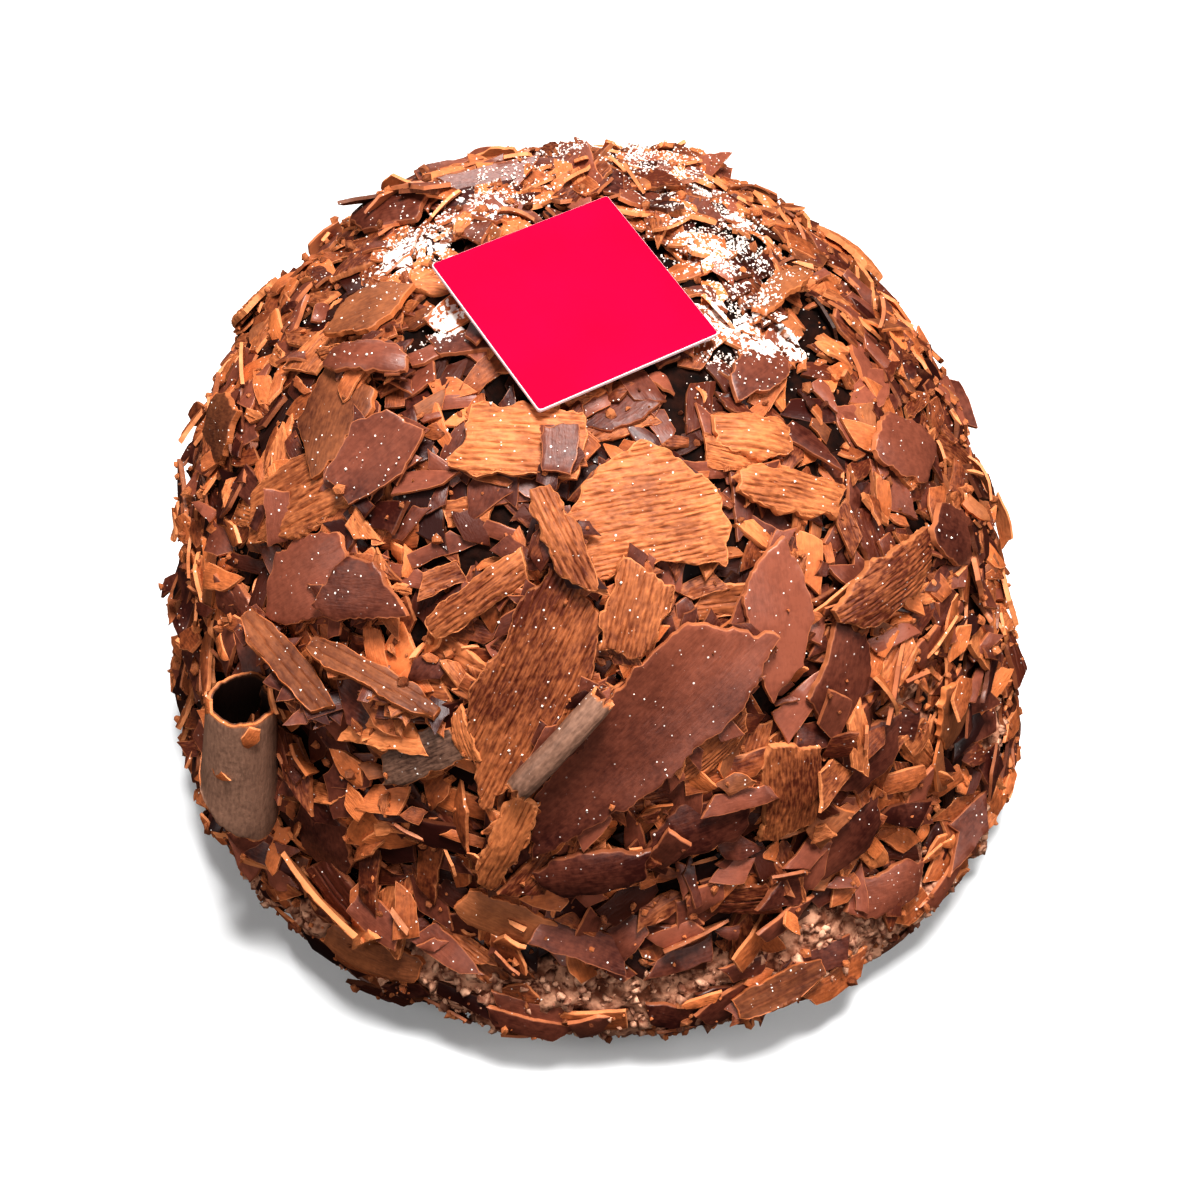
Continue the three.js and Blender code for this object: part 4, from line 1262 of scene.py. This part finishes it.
# chips stuck to the curl: kind, azimuth, climb, turn, size and which of its kind
stuckTone = 0.75
stuckChips = [
    ("milkShards", -48, 42.5, 0.5, 0.75, 3), ("groovedShards", -43.5, 44, 2.4, 0.8, 5),
    ("milkShards", -42, 41.5, 1.0, 0.65, 8), ("milkShards", -45, 36, 2.9, 0.5, 11),
]


def stickChips():
    for name, azimuth, climb, spin, size, pick in stuckChips:
        point, normal, level, rise = domePlace(azimuth, climb)
        start = Vector(point + normal * laying["probeReach"])
        spot, facing = largeHeap.tree.ray_cast(start, Vector(-normal))[:2]
        if spot is None:
            continue
        facing = np.array(facing) * math.copysign(1, np.array(facing) @ normal)
        along = level * math.cos(spin) + rise * math.sin(spin)
        along = unit(along - facing * (along @ facing))
        turn = np.array([along, np.cross(facing, along), facing])
        centre = np.array(spot) + facing * (0.4 * libraries[name]["thickness"] * size)
        clouds[name].append((centre, eulerOf(turn), np.full(3, size), pick, stuckTone))


stickChips()


# Crumbs, cream and grains of sugar, last to fall.

clearOfFloor = 1.8  # least height of a lump's middle, in sizes of the lump
lowestClimb = 1.2
# low is the share of the crumbs that lie low and the share of the surface that they lie on; below is the
# share that the cream lies on; field is how far out sugar falls and spread how wide a drift is, in reaches
bits = {
    "crumbs": {
        "count": 3000, "size": (0.3, 1.2), "power": 2.2, "variants": 10, "onLarge": 0.06, "highest": 5.5,
        "low": (0.25, 0.2), "tone": (0.5, 0.3), "tones": (0.02, 0.98),
    },
    "creamLumps": {
        "count": 9000, "size": (0.35, 1.5), "power": 2, "variants": 8, "soft": True, "below": 0.45,
    },
    "sugarGrains": {
        "single": 13000, "thick": 20, "size": (0.08, 0.3), "power": 2.6, "thickPower": 1.3, "variants": 5,
        "most": 9800, "from": 140, "lowest": 4, "field": 84, "spread": 0.62, "tone": 0.5,
    },
}


lumpReach = 1.9  # about how far the corners are from the middle
eightEnds = [(0, 1), (1, 1), (0, -1), (1, -1), (2, 1), (2, -1)]  # axis and side of each


def lumpShape(sides):
    if sides == 8:
        corners = [tuple(lumpReach * side * (k == axis) for k in range(3)) for axis, side in eightEnds]
        return corners, [(k, (k + 1) % 4, 4) for k in range(4)] + [((k + 1) % 4, k, 5) for k in range(4)]
    spread = (1 + math.sqrt(5)) / 2
    corners = [(side, up * spread, 0) for up in (1, -1) for side in (-1, 1)]
    corners += [(0, side, up * spread) for up in (1, -1) for side in (-1, 1)]
    corners += [(up * spread, 0, side) for up in (1, -1) for side in (-1, 1)]
    faces = [
        (0, 11, 5), (0, 5, 1), (0, 1, 7), (0, 7, 10), (0, 10, 11), (1, 5, 9), (5, 11, 4), (11, 10, 2),
        (10, 7, 6), (7, 1, 8), (3, 9, 4), (3, 4, 2), (3, 2, 6), (3, 6, 8), (3, 8, 9), (4, 9, 5),
        (2, 4, 11), (6, 2, 10), (8, 6, 7), (9, 8, 1),
    ]
    return corners, faces


def makeLump(name, draw, roughness):
    # twenty faces where it is rough, eight on a grain
    rough = roughness > 0.2
    corners, faces = lumpShape(20 if rough else 8)
    points = np.array(corners) / lumpReach * draw.uniform(1 - roughness, 1 + roughness, (len(corners), 1))
    points *= [1, draw.uniform(0.6, 1), draw.uniform(0.4, 0.9)] if rough else [1, 1, 0.85]
    mesh = newMesh(name, points, faces)
    writeAttribute(mesh, "edge", draw.uniform(0, 0.8, len(corners)))
    layer = mesh.uv_layers.new(name="flake")
    layer.data.foreach_set("uv", draw.uniform(0, 4, len(mesh.loops) * 2).astype(np.float32))
    return mesh


def makeLumpLibrary(name, roughness, seed):
    draw = np.random.default_rng(seed)
    collection = bpy.data.collections.new(name + "Library")
    for number in range(bits[name]["variants"]):
        lump = f"{name}{number:02d}"
        mesh = makeLump(lump, draw, roughness)
        if "soft" in bits[name]:
            mesh.shade_smooth()
        collection.objects.link(bpy.data.objects.new(lump, mesh))
    return {"collection": collection}


def anyTurn(draw):
    return tuple(draw.uniform(0, 2 * math.pi, 3))


def anySize(draw, sizes, power):
    # the higher the power, the more of them are small
    smallest, largest = sizes
    return smallest + (largest - smallest) * draw.uniform() ** power


def dropCrumbs():
    crumb = bits["crumbs"]
    draw = np.random.default_rng(81)
    cloud = []
    for k in range(crumb["count"]):
        lowShare, lowArea = crumb["low"]
        low = draw.uniform() < lowShare
        climb = float(climbOfArea(draw.uniform(0, lowArea if low else 1)))
        point, normal = domePlace(draw.uniform(0, 360), max(lowestClimb, climb))[:2]
        height = probe(ground.tree, point, normal, 0)
        large = probe(largeHeap.tree, point, normal, 0)
        if large is not None and (height is None or large > height):
            if draw.uniform() > crumb["onLarge"]:
                continue
            height = large
        if height is None or height > crumb["highest"]:
            continue
        size = anySize(draw, crumb["size"], crumb["power"])
        centre = point + normal * (height + 0.3 * size)
        if centre[2] < clearOfFloor * size or onCard(centre, size):
            continue
        turn = anyTurn(draw)
        tone = float(np.clip(draw.normal(*crumb["tone"]), *crumb["tones"]))
        cloud.append((centre, turn, np.full(3, size), int(draw.integers(crumb["variants"])), tone))
    return cloud


def dropCream():
    # rough crumbs of cream where the core shows as cream
    cream = bits["creamLumps"]
    draw = np.random.default_rng(83)
    climbs = climbOfArea(draw.uniform(0, cream["below"], cream["count"]))
    azimuths = draw.uniform(0, 360, cream["count"])
    places = [domePlace(azimuth, max(lowestClimb, climb))[:2] for azimuth, climb in zip(azimuths, climbs)]
    chances = creamAt(np.array([place[0] for place in places]))
    cloud = []
    for (point, normal), chance in zip(places, chances):
        if draw.uniform() > chance:
            continue
        height = probe(coreTree, point, normal, 0)
        if height is None:
            continue
        size = anySize(draw, cream["size"], cream["power"])
        centre = point + normal * (height + 0.15 * size)
        if centre[2] < clearOfFloor * size:
            continue
        turn = anyTurn(draw)
        cloud.append((centre, turn, np.full(3, size), int(draw.integers(cream["variants"])), draw.uniform()))
    return cloud


def dropSugar():
    # falls straight down, in drifts round the card and as single grains further out
    sugar = bits["sugarGrains"]
    draw = np.random.default_rng(82)
    cloud = []
    places = [(x, y, 0) for x, y in draw.uniform(-sugar["field"], sugar["field"], (sugar["single"], 2))]
    for x, y, reach in sugarDrifts:
        count = round(sugar["thick"] * reach * reach)
        gaps = draw.normal(0, sugar["spread"], (count, 2))
        places += [(x + dx * reach, y + dy * reach, 1) for dx, dy in gaps]
    places = np.array(places)
    x, y = places[:, 0], places[:, 1]
    clots = softNoise(x / 2.6, y / 2.6, 8.5) + 0.6 * softNoise(x, y, 2.5)
    for (x, y, thick), clot in zip(places, clots):
        crown = math.exp(-((math.hypot(x + 2, y - 4) / 50) ** 4))
        chance = 0.62 + 1.5 * clot if thick else 0.16 + 0.22 * crown * (1 + clot)
        if draw.uniform() > chance:
            continue
        start = Vector((x, y, sugar["from"]))
        hits = [tree.ray_cast(start, Vector((0, 0, -1))) for tree in (ground.tree, largeHeap.tree)]
        if hits[0][0] is None:
            continue
        onLarge = hits[1][0] is not None and hits[1][3] < hits[0][3]
        spot = hits[1][0] if onLarge else hits[0][0]
        size = anySize(draw, sugar["size"], sugar["thickPower" if thick else "power"])
        centre = np.array(spot) + [0, 0, 0.35 * size]
        if centre[2] < sugar["lowest"] or onCard(centre, size, 40):
            continue
        turn = anyTurn(draw)
        pick = int(draw.integers(sugar["variants"]))
        cloud.append((centre, turn, np.full(3, size), pick, sugar["tone"]))
    return cloud[:sugar["most"]]


libraries["crumbs"] = makeLumpLibrary("crumbs", 0.35, 61)
libraries["sugarGrains"] = makeLumpLibrary("sugarGrains", 0.15, 62)
libraries["creamLumps"] = makeLumpLibrary("creamLumps", 0.4, 63)
clouds["crumbs"] = dropCrumbs()
clouds["creamLumps"] = dropCream()
clouds["sugarGrains"] = dropSugar()
print("crumbs", len(clouds["crumbs"]), "sugar grains", len(clouds["sugarGrains"]))


# One tree sets every kind of small piece on its points.


scatterLook = {"Size": 1.0, "Tone Spread": 0.06, "Seed": 3}
scatterSizes = (("Size", "Float"), ("Tone Spread", "Float"), ("Seed", "Int"))


def makeScatterTree():
    inputs = [("Points", "Geometry"), ("Library", "Collection"), ("Finish", "Material")]
    inputs += [(label, kind, scatterLook[label]) for label, kind in scatterSizes]
    tree, given, result = startGroup("scatterPieces", inputs, [("Pieces", "Geometry")], "GeometryNodeTree")
    library = addNode(tree, "GeometryNodeCollectionInfo", {
        "Collection": given["Library"], "Separate Children": True, "Reset Children": True,
    })

    def named(name, kind):
        return addNode(tree, "GeometryNodeInputNamedAttribute", {"Name": name}, data_type=kind).outputs[0]

    turn = addNode(tree, "FunctionNodeEulerToRotation", {0: named("turn", "FLOAT_VECTOR")}).outputs[0]
    stretched = {0: named("stretch", "FLOAT_VECTOR"), "Scale": given["Size"]}
    stretch = addNode(tree, "ShaderNodeVectorMath", stretched, operation="SCALE")
    low = mathNode(tree, "MULTIPLY", given["Tone Spread"], -1.0)
    limits = {2: low, 3: given["Tone Spread"], "Seed": given["Seed"]}
    wander = addNode(tree, "FunctionNodeRandomValue", limits, data_type="FLOAT")
    tone = mathNode(tree, "ADD", named("tone", "FLOAT"), wander.outputs[1])
    stored = {"Geometry": given["Points"], "Name": "tone", "Value": tone}
    toned = addNode(tree, "GeometryNodeStoreNamedAttribute", stored, data_type="FLOAT", domain="POINT")
    placed = addNode(tree, "GeometryNodeInstanceOnPoints", {
        "Points": toned.outputs[0], "Instance": library.outputs[0], "Pick Instance": True,
        "Instance Index": named("pick", "INT"), "Rotation": turn, "Scale": stretch.outputs[0],
    })
    real = addNode(tree, "GeometryNodeRealizeInstances", {"Geometry": placed.outputs[0]})
    coated = {"Geometry": real.outputs[0], "Material": given["Finish"]}
    finished = addNode(tree, "GeometryNodeSetMaterial", coated)
    tree.links.new(finished.outputs[0], result.inputs[0])
    return tree


def scatter(name, material):
    # the points carry where, how and which; the tree makes the meshes
    cloud = clouds[name]
    mesh = newMesh(name + "Points", [entry[0] for entry in cloud], [])
    fields = (
        ("turn", "FLOAT_VECTOR", "vector", 1), ("stretch", "FLOAT_VECTOR", "vector", 2),
        ("pick", "INT", "value", 3), ("tone", "FLOAT", "value", 4),
    )
    for label, kind, field, column in fields:
        writeAttribute(mesh, label, [entry[column] for entry in cloud], kind, field=field)
    points = newObject(name + "Points", mesh)
    modifier = points.modifiers.new("scatter", "NODES")
    modifier.node_group = scatterTree
    items = scatterTree.interface.items_tree
    sockets = {item.name: item.identifier for item in items if item.in_out == "INPUT"}
    given = scatterLook | {"Library": libraries[name]["collection"], "Finish": material}
    for label, value in given.items():
        modifier[sockets[label]] = value
    graph = bpy.context.evaluated_depsgraph_get()
    made = bpy.data.meshes.new_from_object(points.evaluated_get(graph), depsgraph=graph)
    made.name = name
    bpy.data.objects.remove(points)
    made.update()
    triangles = sum(len(polygon.vertices) - 2 for polygon in made.polygons)
    print(name, len(cloud), "pieces,", triangles, "triangles")
    addPiece(name, made, material, ["cake_body"])


def makeSugarFinish():
    material, tree, shader, solid = startFinish("icingSugar")
    grain = noiseNode(tree, solid, 2200.0, 2.0)
    color = mixColor(tree, grain, srgb(226, 206, 190), srgb(252, 246, 240))
    endFinish(tree, shader, color, 0.75, 0.5, (grain, 0.0001, 0.6))
    return material


def makeCreamFinish():
    material, tree, shader, solid = startFinish("cream")
    lumps = noiseNode(tree, solid, 700.0, 3.0)
    tone = spanNode(tree, readAttribute(tree, "tone"), 0, 0.7, 0.25, 1.0)
    share = mathNode(tree, "MULTIPLY", spanNode(tree, lumps, 0.35, 0.62), tone)
    color = mixColor(tree, share, srgb(122, 76, 58), srgb(228, 178, 148))
    endFinish(tree, shader, color, 0.8, 0.2, (lumps, 0.0004, 0.8))
    return material


scatterTree = makeScatterTree()
for name, kind in flakeKinds.items():
    scatter(name, chocolates[kind["finish"]])
scatter("crumbs", chocolates["milkChocolate"])
scatter("creamLumps", makeCreamFinish())
scatter("sugarGrains", makeSugarFinish())
for name, library in libraries.items():
    for variant in list(library["collection"].objects):
        bpy.data.objects.remove(variant)
    bpy.data.collections.remove(library["collection"])
print("small pieces laid")


# Floor, light and camera. Their places and sizes are in metres.

studio = {
    "floorSize": 6.0,
    "floor": srgb(240, 240, 240),
    "surround": 0.03,
    "backdrop": 1.0,
    "lens": 60.0,
    "cameraPlace": (-0.0013, -0.2565, 0.308),
    "cameraTilt": 43.1,
    "look": "Medium High Contrast",
    "exposure": 0.07,
    "gamma": 0.93,
}
lamps = {
    # place, power, size, aimed at the cake's middle
    "softKey": ((0.06, -0.12, 0.8), 9.2, 0.22),
    "frontFill": ((0.05, -0.7, 0.42), 1.5, 0.35),
    "leftFill": ((-0.65, -0.25, 0.4), 1.4, 0.3),
    "rightFill": ((0.65, -0.2, 0.4), 2.1, 0.3),
    "backFill": ((-0.2, 0.75, 0.5), 1.6, 0.5),
}


def makeFloor():
    half = studio["floorSize"] / 2
    corners = [(-half, -half, 0), (half, -half, 0), (half, half, 0), (-half, half, 0)]
    mesh = bpy.data.meshes.new("floor")
    mesh.from_pydata(corners, [], [(0, 1, 2, 3)])
    floor = newObject("floor", mesh)
    material = bpy.data.materials.new("paleFloor")
    material.use_nodes = True
    shader = material.node_tree.nodes["Principled BSDF"]
    shader.inputs["Base Color"].default_value = studio["floor"]
    shader.inputs["Roughness"].default_value = 0.9
    mesh.materials.append(material)
    floor.visible_diffuse = False  # throws no light back, so the foot stays in shade
    floor.visible_glossy = False


def makeLights():
    middle = Vector((0, 0, 0.06))
    for name, (place, power, size) in lamps.items():
        lamp = bpy.data.lights.new(name, "AREA")
        lamp.energy = power
        lamp.size = size
        light = newObject(name, lamp)
        light.location = place
        light.rotation_mode = "QUATERNION"
        light.rotation_quaternion = (middle - Vector(place)).to_track_quat("-Z", "Y")
    world = bpy.data.worlds.new("studio")
    world.use_nodes = True
    surround = world.node_tree.nodes["Background"]
    surround.inputs["Color"].default_value = (1, 1, 1, 1)
    seen = addNode(world.node_tree, "ShaderNodeLightPath").outputs["Is Camera Ray"]
    strength = spanNode(world.node_tree, seen, 0, 1, studio["surround"], studio["backdrop"])
    world.node_tree.links.new(strength, surround.inputs["Strength"])
    bpy.context.scene.world = world


def makeCamera():
    camera = bpy.data.cameras.new("camera")
    camera.lens = studio["lens"]
    camera.sensor_width = 36.0
    camera.clip_start = 0.01
    viewer = newObject("camera", camera)
    viewer.location = studio["cameraPlace"]
    viewer.rotation_euler = (math.radians(studio["cameraTilt"]), 0, 0)
    bpy.context.scene.camera = viewer


makeFloor()
makeLights()
makeCamera()
viewSettings = bpy.context.scene.view_settings
viewSettings.view_transform = "Standard"
viewSettings.look = studio["look"]
viewSettings.exposure = studio["exposure"]
viewSettings.gamma = studio["gamma"]
